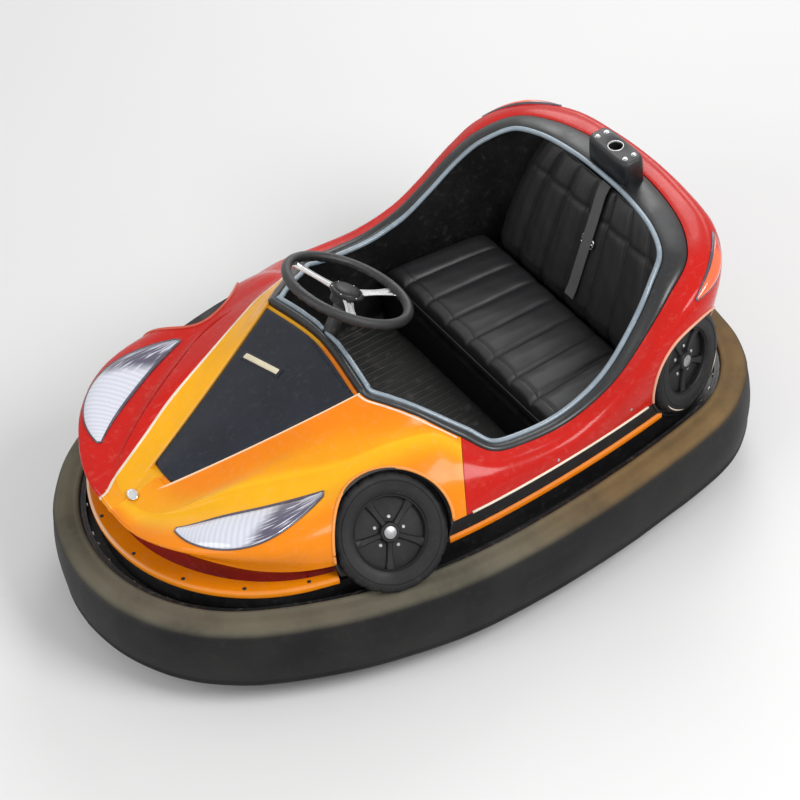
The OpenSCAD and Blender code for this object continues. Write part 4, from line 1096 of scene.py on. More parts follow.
class BUMPERCAR_OT_bodywork(bpy.types.Operator):
    """Makes the moulded front and rear bodies and the rolled edges of their wheel openings"""
    bl_idname = "bumper_car.bodywork"
    bl_label = "Bodywork"

    def execute(self, context):
        half = np.concatenate([span(0, 0.98, 6), [1.0, 1.08, 1.2], span(1.35, 1.95, 4),
            span(2.05, 9.99, 96)])
        front = np.concatenate([-half[:0:-1], half])
        body_shell("front_shell", front, "front_body")
        body_shell("rear_shell", span(10.01, 31.99, 300), "rear_body")
        # pale strips painted on as highlights: along the right fender's crease and along the left
        # rim
        painted_highlight_strip("fender_line", FAR_LINE, 6.5, -1)
        run = span(1.1, 9.85, 30)
        reach = np.linalg.norm(skin(run, np.full(31, 30.0)) - skin(run, np.zeros(31)), axis=1)
        painted_highlight_strip("rim_line", np.stack([run, 30 * 5.0 / reach], 1), 4.5, 1)
        bead_r = settings().sizes.bead_r * 1000
        for k, arch in enumerate(ARCHES):
            edge = arch_edge(arch)
            split = int(np.argmax(np.diff(np.concatenate([edge[:, 0], [edge[0, 0] + 6.2832]]))))
            edge = np.roll(edge, -(split + 1), axis=0)
            path = skin_off(edge[:, 1], edge[:, 2], np.full(len(edge), 0.5))
            self.sleeve(k, arch, edge)
            for side in (1, -1):
                red = np.full(len(path), 1.0 if k or side < 0 else 0.0)
                verts, faces = tube(sided(path, side), bead_r)
                # the attribute line paints a highlight on the beads, stronger on the rear arches
                piece("arch_bead_%d_%s" % (k, "left" if side > 0 else "right"), (verts, faces),
                    "gel_coat",
                    attrs={"yellow_and_light": np.full(len(verts), 0.3), "red": np.repeat(red, 10),
                    "line": np.full(len(verts), 0.55 if k else 0.15)})
        self.foot_line()
        return {"FINISHED"}

    def sleeve(self, k, arch, edge):
        """Closes an arch between its edge on the skin and the collar of the wheel recess."""
        turn, place, r = arch
        q = in_arch(skin(edge[:, 1], edge[:, 2]), arch)
        high = q[:, 2] - 0.8
        low = np.minimum(COLLAR_TOP, high - 1)
        rows = [np.stack([q[:, 0] * s, q[:, 1] * s, z], 1) for s, z in ((1 - 0.2 / r, high),
            (1 - 0.2 / r, low), (1 - 2.4 / r, low), (1 - 2.4 / r, high))]
        pts = np.stack(rows, 1) @ turn.T + place
        for side in (1, -1):
            piece("arch_sleeve_%d_%s" % (k, "left" if side > 0 else "right"),
                ring(sided(pts, side), closed=False), "liner_black")

    def foot_line(self):
        """Pale piping along the foot of the rear body."""
        foot = span(10.2, 31.8, 160)
        near = near_u(foot)
        p = skin(near, np.full(len(foot), 90.0))
        out = unit((plan_xy(BODY_PLAN, row_at(near)[:, 6], 0)
            - plan_xy(BODY_PLAN, row_at(near)[:, 6], 5)))
        p[:, :2] += out * 0.6
        clear = off_arches(p, 3)
        p[:, 1] *= np.where(foot > TAIL_U, -1, 1)
        runs, start = [], None
        for i, ok in enumerate(np.append(clear, False)):
            if ok and start is None:
                start = i
            elif not ok and start is not None:
                if i - start > 3:
                    runs.append(p[start:i])
                start = None
        parts = [tube(run + np.array([0, 0, 1.5]), 3.2, 8) for run in runs]
        piece("foot_piping", joined(parts), "pale_trim_and_highlight")


class BUMPERCAR_OT_nose(bpy.types.Operator):
    """Makes the hood panel with its bar, the mouth, the lip and the nose disc"""
    bl_idname = "bumper_car.nose"
    bl_label = "Nose"

    def execute(self, context):
        us, ws = span(-0.965, 0.965, 44), span(0.55, 24.1, 60)
        u, w = np.meshgrid(us, ws, indexing="ij")
        edge = np.minimum((0.965 - np.abs(u)) * 90, np.minimum((w - 0.55) * 9, (24.1 - w) * 9))
        drop = 2.0 + 3.0 * (1 - np.sqrt(np.clip(edge / 3, 0, 1) * (2 - np.clip(edge / 3, 0, 1))))
        top = sided(skin(np.abs(u), w), np.where(u < 0, -1, 1))
        low = top.copy()
        top[..., 2] -= drop
        low[..., 2] -= 8.6
        piece("hood_inset", shell(top, low), "hood_charcoal",
            node="hood_panel", sharp=50)
        # pale bar across the panel, with its dark surround
        def on_hood(x, y):
            """Height of the panel's face under a place."""
            uu, ww = np.meshgrid(span(-0.96, 0.96, 60), span(0.6, 24, 60), indexing="ij")
            q = sided(skin(np.abs(uu), ww), np.where(uu < 0, -1, 1))
            k = np.argmin(np.hypot(q[..., 0] - x, q[..., 1] - y))
            return q.reshape(-1, 3)[k, 2] - 2.0
        x0, y0, turn = 266.5, -54.0, math.radians(101.6)
        for label, half_l, half_w, h, finish_name in (("hood_bar_frame", 60, 10.5, 2.6,
                "hood_charcoal"), ("hood_bar", 55, 6.5, 4.6, "cream_plastic")):
            across, along = 9, 24
            s = span(-1, 1, along)[:, None]
            t = span(-1, 1, across)[None]
            fill = np.sqrt(np.clip(1 - np.abs(s) ** 8, 0, 1)) * np.sqrt(np.clip(1 - 0.9
                * np.abs(t) ** 4, 0, 1))
            lx, ly = s * half_l * np.ones_like(t), t * half_w * np.ones_like(s)
            x = x0 + lx * math.cos(turn) - ly * math.sin(turn)
            y = y0 + lx * math.sin(turn) + ly * math.cos(turn)
            base = np.vectorize(on_hood)(x, y)
            base = np.polynomial.polynomial.polyval2d(x, y, plane_fit(x, y, base))
            top = np.stack([x, y, base + 0.4 + (h - 0.4) * fill], -1)
            low = np.stack([x, y, base - 1.5], -1)
            piece(label, shell(top, low), finish_name, sharp=50)
        self.mouth_and_lip()
        # oval disc on the nose
        n = skin_normal(np.array(0.0), np.array(28.6))
        c = skin(np.array(0.0), np.array(28.6))
        verts, faces = lathe([(0.02, 0.2), (11, 0.2), (11.2, 1.6), (10.2, 3.0), (8.2, 3.1),
            (7.6, 2.3), (5, 2.9), (0.02, 3.4)], 56)
        turn = np.array(Matrix.Rotation(math.acos(n[2]), 3, "Y"))
        pts = (np.asarray(verts) * np.array([1, 1.5, 1])) @ turn.T + c
        piece("nose_disc", (pts, faces), "bright_metal", node="nose_badge",
            sharp=40)
        return {"FINISHED"}

    def mouth_and_lip(self):
        """The dark red mouth, and the lip round the body under it."""
        us = span(-7.68, 7.68, 150)
        au = np.abs(us)
        r = row_at(au)
        foot = r[:, 13] + BODY_FOOT - 0.3
        face = np.array([[5, 1], [13, 0.95], [19, 0.83], [23.5, 0.62], [25.8, 0.38], [25.4, 0.18],
            [22.5, 0.0]])
        grids = []
        for deeper in (0, 4.5):
            inset = np.maximum(face[None, :, 0], r[:, None, 12] * 0.8 + face[None, :, 0]) + deeper
            xy = plan_xy(BODY_PLAN, np.broadcast_to(r[:, None, 6], inset.shape), inset)
            z = face[None, :, 1] * foot[:, None] + (1 - face[None, :, 1]) * (LIP_TOP + 0.3)
            grids.append(np.stack([xy[..., 0], xy[..., 1] * np.where(us < 0, -1, 1)[:, None], z],
                -1))
        q = np.stack([grids[0][..., 0], np.abs(grids[0][..., 1]), grids[0][..., 2]], -1)
        mid = (q[:-1, :-1] + q[1:, 1:]) / 2
        keep = np.ones(mid.shape[:2], bool)
        for arch in ARCHES:
            keep &= ~within(mid, arch, 1, -34)
        piece("mouth", shell(grids[0], grids[1], keep), "mouth_red",
            node="mouth_recess", sharp=45)
        # the lip, with a rolled outer edge
        s = np.linspace(0, 10, 400, endpoint=False)
        outer = np.array([(0.6, -3.2), (0.0, -7), (0.0, -13), (0.8, -16.6), (2.6, -18)])
        wide_in = np.interp(np.minimum(s, 10 - s), [1.0, 1.28, 1.42, 5], [54, 54, 25.5, 25.5])
        section = [(6.4, 0.0), (5.2, 0.0), (1.6, -1.2)] + [tuple(q) for q in outer]
        rows = []
        for inset, z in section + [(wide_in, -18), (wide_in, 0)]:
            xy = plan_xy(BODY_PLAN, s, inset)
            rows.append(np.concatenate([xy, np.full((len(s), 1), LIP_TOP + z)], 1))
        grid = np.stack(rows, 1)
        clear = np.ones(len(s), bool)
        edge = np.concatenate([plan_xy(BODY_PLAN, s), np.full((len(s), 1), 273.0)], 1)
        edge[:, 1] = np.abs(edge[:, 1])
        for arch in ARCHES:
            clear &= ~within(edge, arch, 0.5, -40)
        start = int(np.argmin(clear))
        order = np.roll(np.arange(len(s)), -start)
        parts, run = [], []
        for i in list(order) + [None]:
            if i is not None and clear[i]:
                run.append(i)
            elif run:
                parts.append(ring(grid[run], closed=False))
                run = []
        verts, faces = joined(parts)
        left = verts[:, 1] > 0
        front = verts[:, 0] > 150
        red = np.where(front, np.where(left, 0.0, 0.65 * ease(-verts[:, 1], 40, 260)), 0.0)
        place = np.arange(len(verts)) % grid.shape[1]
        # painted highlight along the lip's top edge, strongest at the front on the right side
        lip_edge_highlight = np.where((place > 0) & (place < 4), 1.0, 0.0)
        line = lip_edge_highlight * np.where(front, 0.1 + 0.75 * ease(-verts[:, 1], -160, 120), 0.1)
        piece("lip", (verts, faces), "gel_coat", node="lower_lip", sharp=40,
            attrs={"yellow_and_light": np.where(front, 0.25, 0.1), "red": red, "line": line})


def plane_fit(x, y, z):
    """Plane through points, as coefficients for polyval2d."""
    a = np.stack([np.ones(x.size), x.ravel(), y.ravel()], 1)
    c = np.linalg.lstsq(a, z.ravel(), rcond=None)[0]
    return np.array([[c[0], c[2]], [c[1], 0.0]])


class BUMPERCAR_OT_coaming(bpy.types.Operator):
    """Makes the padded edge round the cockpit, its piping and the mast block on the tail"""
    bl_idname = "bumper_car.coaming"
    bl_label = "Coaming"

    def execute(self, context):
        us = np.concatenate([span(-9.95, 9.95, 260), span(10.1, 31.9, 330)])
        w = row_at(near_u(us))[:, 11:12] - COAMING_TRIM
        ks = np.array([0, 0.03, 0.10, 0.22, 0.38, 0.5, 0.62, 0.78, 0.90, 0.97, 1.0])
        lifts = np.array([-6, 0.2, 3.4, 5.6, 6.8, 7.0, 6.8, 5.6, 3.6, 1.4, -6])
        top = self.loop(us, 0.4 + ks[None] * (w - 0.4), lifts[None])
        low = self.loop(us, 0.4 + ks[None] * (w - 0.4), np.full((1, len(ks)), -9.8))
        piece("coaming_edge", shell(clear_column(top), clear_column(low), closed=True),
            "coaming_black", node="coaming", sharp=50)
        r = settings().sizes.piping_r * 1000
        a = circle(12)
        out = self.loop(us, (r * np.cos(a))[None], (1.0 + r * np.sin(a))[None], True)
        piece("coaming_piping", ring(clear_column(out)), "piping_grey",
            node="coaming_trim")
        self.mast_block()
        return {"FINISHED"}

    def loop(self, us, d, lift, edge=False):
        """Points of the coaming all the way round."""
        u, dd = np.broadcast_arrays(us[:, None], d)
        p = coaming_pt(near_u(u), dd, np.broadcast_to(lift, u.shape), edge)
        return sided(p, np.where((u < 0) | (u > TAIL_U), -1, 1))

    def mast_block(self):
        """Moulded block with the bore for the mast, a steel ring and four bolts."""
        cx, top, rings = -640.07, 664.0, []
        t = circle(96)

        def rounded(hx, hy, power=5.0):
            c, s = np.cos(t), np.sin(t)
            k = (np.abs(c) ** power + np.abs(s) ** power) ** (-1 / power)
            return np.stack([hx * k * c, hy * k * s], 1)
        for hx, hy, z in ((30.5, 72, None), (30.3, 71.6, 640.0), (29.5, 70.8, 655.0),
                (28.2, 69.4, 660.5), (25.8, 67.0, 663.2), (23.0, 64.0, 664.0), (19.6, 19.6, 664.0),
                (18.6, 18.6, 663.4), (16.6, 16.6, 663.4), (16.1, 16.1, 660.0), (16.1, 16.1, 614.2),
                (0.2, 0.2, 614.2)):
            x, y = rounded(hx, hy, 5.0 if hx > 21 else 2.0).T
            high = self.block_foot(cx + x, y) if z is None else np.full(len(t), z)
            rings.append(np.stack([cx + x, y, high], 1))
        x, y = cx + (rings[0][:, 0] - cx) * 0.5, rings[0][:, 1] * 0.5
        rings.insert(0, np.stack([x, y, self.block_foot(x, y)], 1))
        piece("mast_block", ring(np.stack(rings), closed=False), "coaming_black",
            node="pole_socket", sharp=42)
        piece("mast_ring", lathe([(16.15, -20), (18.2, -20), (18.4, 0.9), (17.9, 1.5), (16.6, 1.5),
            (16.15, 0.9)], 72, (cx, 0, top - 1.6)), "steel_zinc", sharp=40)
        pts = [(cx + sx * 12, sy * 50, top - 0.3) for sx in (-1, 1) for sy in (-1, 1)]
        bolts("mast_block_bolts", pts, (0, 0, 1), 4.6, 3)

    def block_foot(self, x, y):
        """Height of the coaming's top under the block."""
        us, k = np.linspace(19.2, 22.8, 120), np.linspace(0.0, 1.0, 14)
        w = row_at(near_u(us))[:, 11:12] - COAMING_TRIM
        p = coaming_pt(near_u(us)[:, None], 0.4 + k[None] * w, 1 + 6 * np.sin(math.pi * k)[None])
        p = sided(p, np.where(us > TAIL_U, -1, 1)[:, None]).reshape(-1, 3)
        near = [np.argmin(np.hypot(p[:, 0] - px, p[:, 1] - py)) for px, py in zip(x, y)]
        return p[near, 2] + 0.4


BUMPER_TOP, BUMPER_BOTTOM, RUBBER = 235.0, 55.0, 68.0


class BUMPERCAR_OT_bumper(bpy.types.Operator):
    """Makes the rubber ring with its bead and shoulder, and the bolts through its band"""
    bl_idname = "bumper_car.bumper"
    bl_label = "Bumper"

    def execute(self, context):
        mid, high = (BUMPER_TOP + BUMPER_BOTTOM) / 2, (BUMPER_TOP - BUMPER_BOTTOM) / 2 - 24
        reach = math.asin(high / 300)

        def arc(cx, cy, r, a0, a1, n):
            a = np.radians(span(a0, a1, n))
            return [(cx + r * math.cos(t), cy + r * math.sin(t)) for t in a]
        d = math.degrees(reach)
        section = (arc(-30, 81, 26, 270, 342, 9) + arc(-300, mid, 300, -d, d, 22)
            + arc(-27, 209, 22, 18, 84, 12) + [(-32, 234.6), (-40, 234.9), (-48, 235.0),
            (-53, 235.0)] + [(-54.2, 235.4), (-55.2, 237.4), (-56.6, 239.4), (-58.6, 240.0)]
            + [(-62.4, 240.0), (-64.6, 239.2), (-66.6, 237.0), (-67.8, 233.5)]
            + [(-68, 220), (-68, 150), (-68, 75), (-67.4, 66), (-63, 60.5), (-56, 55)]
            + [(-44, 55)])
        section = np.array(section)
        s = np.linspace(0, 10, 640, endpoint=False)
        grid = band_grid(s, section, 0.0)
        # the rubber has softened with use: shallow dents and flats along the wall
        wall = ease(section[None, :, 0], -30, -8)
        dent = (0.9 * np.sin(s * 7.1 + 0.4) * np.sin(s * 3.3) + 0.5 * np.sin(s * 17.0))[:, None]
        cen = plan_xy(BUMPER_PLAN, s, 60.0)[:, None]
        way = unit(grid[..., :2] - cen)
        grid[..., :2] -= way * (np.clip(dent + 0.6, 0, 2) * wall)[..., None]
        verts, faces = ring(grid)
        sec_d = np.tile(section[:, 0], len(s))
        sec_z = np.tile(section[:, 1], len(s))
        dusty = ease(sec_z, 214, 231) * ease(sec_d, -70, -66)
        tail = ease(-verts[:, 0], -100, 350)
        piece("rubber_ring", (verts, faces), "bumper_rubber", node="bumper_ring",
            sharp=50, attrs={"dusty": dusty, "tail": tail})
        # clamp strip that holds the rubber to its band
        s2 = np.linspace(0, 10, 420, endpoint=False)
        strip = np.array([(-68.6, 214), (-74.2, 214), (-74.8, 215.5), (-74.8, 229.5), (-74.0, 231),
            (-68.6, 231)])
        piece("clamp_strip", ring(band_grid(s2, strip, 6.4)), "steel_black",
            sharp=40)
        dress("bumper_band", "steel_black")
        at, out = evenly(BUMPER_PLAN, 81.2, 44)
        bolts("clamp_bolts", at + np.array([0, 0, 222.5]), -out, 4.6, 5)
        at, out = evenly(BUMPER_PLAN, 85.0, 26, 0.5)
        bolts("deck_bolts", at + np.array([0, 0, 202.0]), (0, 0, 1), 4.2, 6)
        return {"FINISHED"}


def band_grid(s, section, inset):
    """Section of (distance out, height) swept along the bumper's outline."""
    xy = plan_xy(BUMPER_PLAN, s[:, None], inset - section[None, :, 0])
    return np.dstack([xy, np.broadcast_to(section[:, 1], xy.shape[:2])])


def evenly(plan, inset, count, shift=0.0):
    """Points spaced evenly along an outline, and the outward directions there."""
    s = np.linspace(0, 10, 2000, endpoint=False)
    p = plan_xy(plan, s, inset)
    d = np.concatenate([[0], np.cumsum(np.linalg.norm(np.diff(p, axis=0), axis=1))])
    want = (np.arange(count) + shift) / count * d[-1]
    run = np.interp(want, d, s)
    at = plan_xy(plan, run, inset)
    out = unit(plan_xy(plan, run, inset - 5) - at)
    zero = np.zeros((count, 1))
    return np.concatenate([at, zero], 1), np.concatenate([out, zero], 1)


# kind, slot, node, and the lens: section and sweep of its ends, bow, half height, swell
LAMPS = (("head", "headlamp_lens", "headlamp_", (3.75, 41.5, 6.98, 35.5, 9, 12, 11)),
    ("tail", "tail_lamp_lens", "tail_lamp_", (17, 43, 18.8, 40, 3, 9, 9)))


def turned_in(made, side):
    """A closed piece on one side of the car, with its faces still outwards."""
    points = sided(made[0], side)
    return points, flip_if_inside_out(points, made[1])


class BUMPERCAR_OT_lamps(bpy.types.Operator):
    """Makes the almond lamps with their bezels"""
    bl_idname = "bumper_car.lamps"
    bl_label = "Lamps"

    def execute(self, context):
        for kind, lens_slot, lamp_node, l in LAMPS:
            t, k = np.meshgrid(np.concatenate([[0.035], span(0.05, 0.95, 60), [0.965]]),
                span(-1, 1, 26), indexing="ij")
            swell = np.sin(math.pi * t)
            u = l[0] + (l[2] - l[0]) * t
            w = l[1] + (l[3] - l[1]) * t + (l[4] + k * l[5]) * swell
            lift = 1.6 + (l[6] - 2) * (1 - k * k) * swell
            rim = np.minimum((1 - np.abs(k)) * 6, np.minimum(t - 0.03, 0.97 - t) * 30)
            lift = lift * np.clip(rim + 0.55, 0, 1)
            top = skin_off(u, w, lift)
            low = skin_off(u, w, np.full(u.shape, -3.5))
            verts, faces, used = shell(top, low)
            along = np.concatenate([t.ravel()] * 2)[used]
            across = np.concatenate([k.ravel()] * 2)[used]
            edge_k = np.concatenate([[(q, -1.0) for q in t[:, 0]], [(q, 1.0) for q in t[::-1, 0]]])
            ew = np.array([l[1] + (l[3] - l[1]) * q + (l[4] + kk * l[5]) * math.sin(math.pi * q)
                for q, kk in edge_k])
            eu = np.array([l[0] + (l[2] - l[0]) * q for q, kk in edge_k])
            thick = 2.3 + 1.8 * (edge_k[:, 1] < 0) * ease(edge_k[:, 0], 0.1,
                0.5) * ease(-edge_k[:, 0], -1, -0.85)
            edge = tube(skin_off(eu, ew, np.full(len(eu), 0.8)), thick, 8, closed=True,
                up=skin_normal(eu, ew))
            for side in ("left", "right"):
                lens, bezel = (turned_in(m, 1 if side == "left" else -1) for m in ((verts, faces),
                    edge))
                piece("%s_lens_%s" % (kind, side), lens, kind + "_lens", node=lamp_node
                    + side, sharp=40, attrs={"along": along, "across": across})
                piece("%s_bezel_%s" % (kind, side), bezel, "lamp_bezel")
        return {"FINISHED"}


class BUMPERCAR_OT_dummy_wheels(bpy.types.Operator):
    """Makes the four moulded wheels in their recesses"""
    bl_idname = "bumper_car.dummy_wheels"
    bl_label = "Moulded wheels"

    def execute(self, context):
        black, trim, painted_highlights, base = [], [], [], -29.7

        def turned(section, steps, x=0, y=0):
            return lathe(section, steps, (x, y, base))

        for n, (turn, place, r) in enumerate(ARCHES):
            r = r - 9
            rim = r * 0.62
            tyre = [(rim, 0.4), (r - 3, 0.4), (r - 0.6, 6), (r, 13), (r - 1.2, 18), (r - 4.5, 22),
                (r - 9, 24.6), (r - 14, 25.8), (r - 16.2, 25.9), (r - 17.2, 24.6),
                (r - 18.4, 24.6), (r - 19.4, 25.7), (rim + 15, 25.4), (rim + 8, 24),
                (rim + 3.4, 21.5), (rim + 2.6, 19), (rim, 17)]
            steps = 144
            v, f = turned(tyre, steps)
            v = v.reshape(steps, len(tyre), 3)
            groove = (np.arange(steps) % 6 < 1)[:, None]
            outer = np.array([q[0] > r - 7 for q in tyre])[None]
            out = unit(v * np.array([1, 1, 0]))
            v = v - out * (2.4 * (groove & outer))[..., None]
            parts = [(v.reshape(-1, 3), f)]
            parts.append(turned([(0.1, 0.4), (rim + 0.8, 0.4), (rim + 0.8, 6.0), (rim * 0.9, 6.8),
                (0.1, 6.8)], 96))
            parts.append(turned([(rim - 1, 4), (rim + 1.5, 4), (rim + 1.5, 17.5),
                (rim - 1.4, 18.6), (rim - 2.2, 17.2)], 96))
            parts.append(turned([(0.1, 6), (24, 6), (22.5, 12), (21, 17), (19.5, 18.6),
                (15.5, 18.9), (14.5, 17.4), (0.1, 17.9)], 64))
            for i in range(5):
                a = math.radians(72 * i)
                sp = span(17, rim - 0.5, 14)
                half = 6.2 + 4.2 * ((sp - 17) / (rim - 17)) ** 2
                rows = []
                for x, h in zip(sp, half):
                    z = 15.2 - 3.0 * math.sin(math.pi * (x - 17) / (rim - 17))
                    rows.append([(x, -h, 5.5), (x, -h * 0.92, z - 2), (x, -h * 0.66, z),
                        (x, h * 0.66, z), (x, h * 0.92, z - 2), (x, h, 5.5)])
                vv, ff = ring(np.array(rows), closed=False)
                spin = np.array(Matrix.Rotation(a, 3, "Z"))
                parts.append((vv @ spin.T + np.array([0, 0, base]), ff))
            cap = [turned([(0.1, 17), (13.6, 17), (13.4, 19.2), (11.5, 20.3), (0.1, 20.3)], 56)]
            for i in range(5):
                a = math.radians(72 * i + 36)
                cap.append(turned([(0.1, 6), (4.2, 6), (4.2, 8.6), (3.2, 9.6), (0.1, 9.6)], 20, 33
                    * math.cos(a), 33 * math.sin(a)))
            # pale arcs on the rear wheels' tyres: painted highlights
            light = []
            if n == 1:
                for a0, a1 in ((0.35, 1.25), (2.2, 2.8)):
                    a = np.linspace(a0, a1, 30)
                    path = np.stack([(r - 10) * np.cos(a), (r - 10) * np.sin(a),
                        np.full(30, base + 24.2)], 1)
                    light.append(tube(path, 1.7 * np.sin(np.linspace(0.12, math.pi - 0.12, 30)), 8,
                        up=(0, 0, 1), squash=0.8))
            for group, many in ((black, parts), (trim, cap), (painted_highlights, light)):
                for vv, ff in many:
                    p = np.asarray(vv) @ turn.T + place
                    for side in (1, -1):
                        q, qf = turned_in((p, ff), side)
                        group.append((clear_of_rubber(q), qf))
        piece("moulded_wheels", joined(black), "wheel_black",
            node="dummy_wheels", sharp=40)
        piece("wheel_caps", joined(trim), "cast_metal", sharp=40)
        piece("wheel_streaks", joined(painted_highlights), "pale_trim_and_highlight", sharp=40)
        dress("wheel_recesses", "liner_black")
        return {"FINISHED"}


RING_ROOM = 241.0


def clear_of_rubber(points):
    """Lifts the points that would be in the rubber ring on to its top."""
    s = np.linspace(0, 10, 900, endpoint=False)
    edge = plan_xy(BUMPER_PLAN, s, RUBBER + 0.4)
    p = points.copy()
    low = p[:, 2] < RING_ROOM
    for i in np.where(low)[0]:
        k = np.argmin(np.hypot(edge[:, 0] - p[i, 0], edge[:, 1] - p[i, 1]))
        out = unit(edge[k] - plan_xy(BUMPER_PLAN, s[k], RUBBER + 5))
        if np.dot(p[i, :2] - edge[k], out) > -0.2:
            p[i, 2] = RING_ROOM
    return p


HUB_AT, HUB_AXIS = np.array([67.0, 0, 635.0]), np.array([-0.5, 0, 0.8660254])
AHEAD = np.array([0.8660254, 0, 0.5])
DRIVE_X, COLUMN_ROOM = 265.03, 17.8


def on_column(points):
    """Points of the steering wheel's own frame, in the car's."""
    p = np.asarray(points, float)
    return HUB_AT + p[..., 0:1] * AHEAD + p[..., 1:2] * np.array([0, 1, 0]) + p[...,
        2:3] * HUB_AXIS


# round a spoke: share of its half width, what is added to it, and height over its face
SPOKE_SECTION = ((-1, 0, -0.8), (-1, 0.8, 0), (-0.45, 0, 0.5), (-0.3, 0, -0.9), (0.3, 0, -0.9),
    (0.45, 0, 0.5), (1, -0.8, 0), (1, 0, -0.8), (1, -0.8, -3.4), (-1, 0.8, -3.4))


class BUMPERCAR_OT_steering(bpy.types.Operator):
    """Makes the steering wheel with its grip, spokes and hub, and the boot of the column"""
    bl_idname = "bumper_car.steering"
    bl_label = "Steering"

    def execute(self, context):
        body, slot = "steering_wheel", "steering_wheel_rim"
        a = circle(288)
        r = settings().sizes.grip_r * 1000
        t = circle(28)
        # finger bumps on the underside of the rim, and a seam along its inside
        bump = 0.8 * np.clip(-np.sin(t), 0, 1)[None] * np.cos(36 * a)[:, None]
        seam = -0.8 * np.exp(-((t[None] - math.pi) / 0.10) ** 2)
        rr = r - 0.6 + bump + seam
        away, high = 138 + rr * np.cos(t), rr * np.sin(t)
        pts = np.stack([away * np.cos(a)[:, None], away * np.sin(a)[:, None], high], -1)
        piece("steering_rim", ring(on_column(pts)), "grip_black", body,
            node="steering_wheel")
        parts = []
        for i in range(3):
            turn = np.array(Matrix.Rotation(math.radians(120 * i + 180), 3, "Z"))
            x = span(22, 130, 30)
            half = 15.5 - 5.0 * np.sin(math.pi * (x - 22) / 108) + 1.5 * (x > 124)
            z = -6.2 + 3.4 * ((x - 22) / 108) ** 1.6
            rows = np.stack([np.stack([x, share * half + more, z + lift], 1) for share, more,
                lift in SPOKE_SECTION], 1)
            v, f = ring(rows, closed=False)
            parts.append((on_column(v @ turn.T), f))
        piece("steering_spokes", joined(parts), "bright_metal", body, sharp=35)
        hub = lathe([(0.1, -29.5), (29.5, -29.5), (30, -12), (37, -9.5), (38.4, -7), (38.2, -3),
            (35.5, -0.5), (32.5, 0.2), (31.6, -0.9), (30.6, -0.9), (29.6, 0.8), (22, 4.2),
            (12, 5.8), (0.1, 6.3)], 72, HUB_AT, HUB_AXIS)
        piece("steering_hub", hub, "black_moulding", body, sharp=38)
        shaft = lathe([(0.1, -99), (8.6, -99), (8.6, -30), (0.1, -30)], 40, HUB_AT, HUB_AXIS)
        piece("steering_shaft", shaft, "steel_zinc", body)
        k = np.radians(np.arange(6) * 60 + 30)
        pts = on_column(np.stack([34.6 * np.cos(k), 34.6 * np.sin(k), np.full(6, -0.6)], 1))
        repeated("steering_screws", screw_head(), pts, HUB_AXIS, "bright_metal", body,
            2.0, seed=2)
        # collar where the tube goes through the dashboard, and the folds of the boot
        dress("column_tube", "steel_black")
        dress("column_gaiter", "mat_rubber")
        folds = [lathe([(rr - 3.2, z), (rr, z - 2.8), (rr + 3.2, z), (rr, z + 2.8)], 72,
            (DRIVE_X, 0, 0)) for rr, z in ((48.5, 277.6), (44.5, 284.2), (42.4, 291), (41.8, 298),
            (39.6, 305.5))]
        piece("boot_folds", joined(folds), "mat_rubber")
        collar = lathe([(17.1, -150), (22.5, -150), (23.4, -148.6), (23.4, -143), (21, -140.6),
            (17.1, -140)], 56, HUB_AT, HUB_AXIS)
        piece("column_collar", collar, "black_moulding", sharp=40)
        return {"FINISHED"}


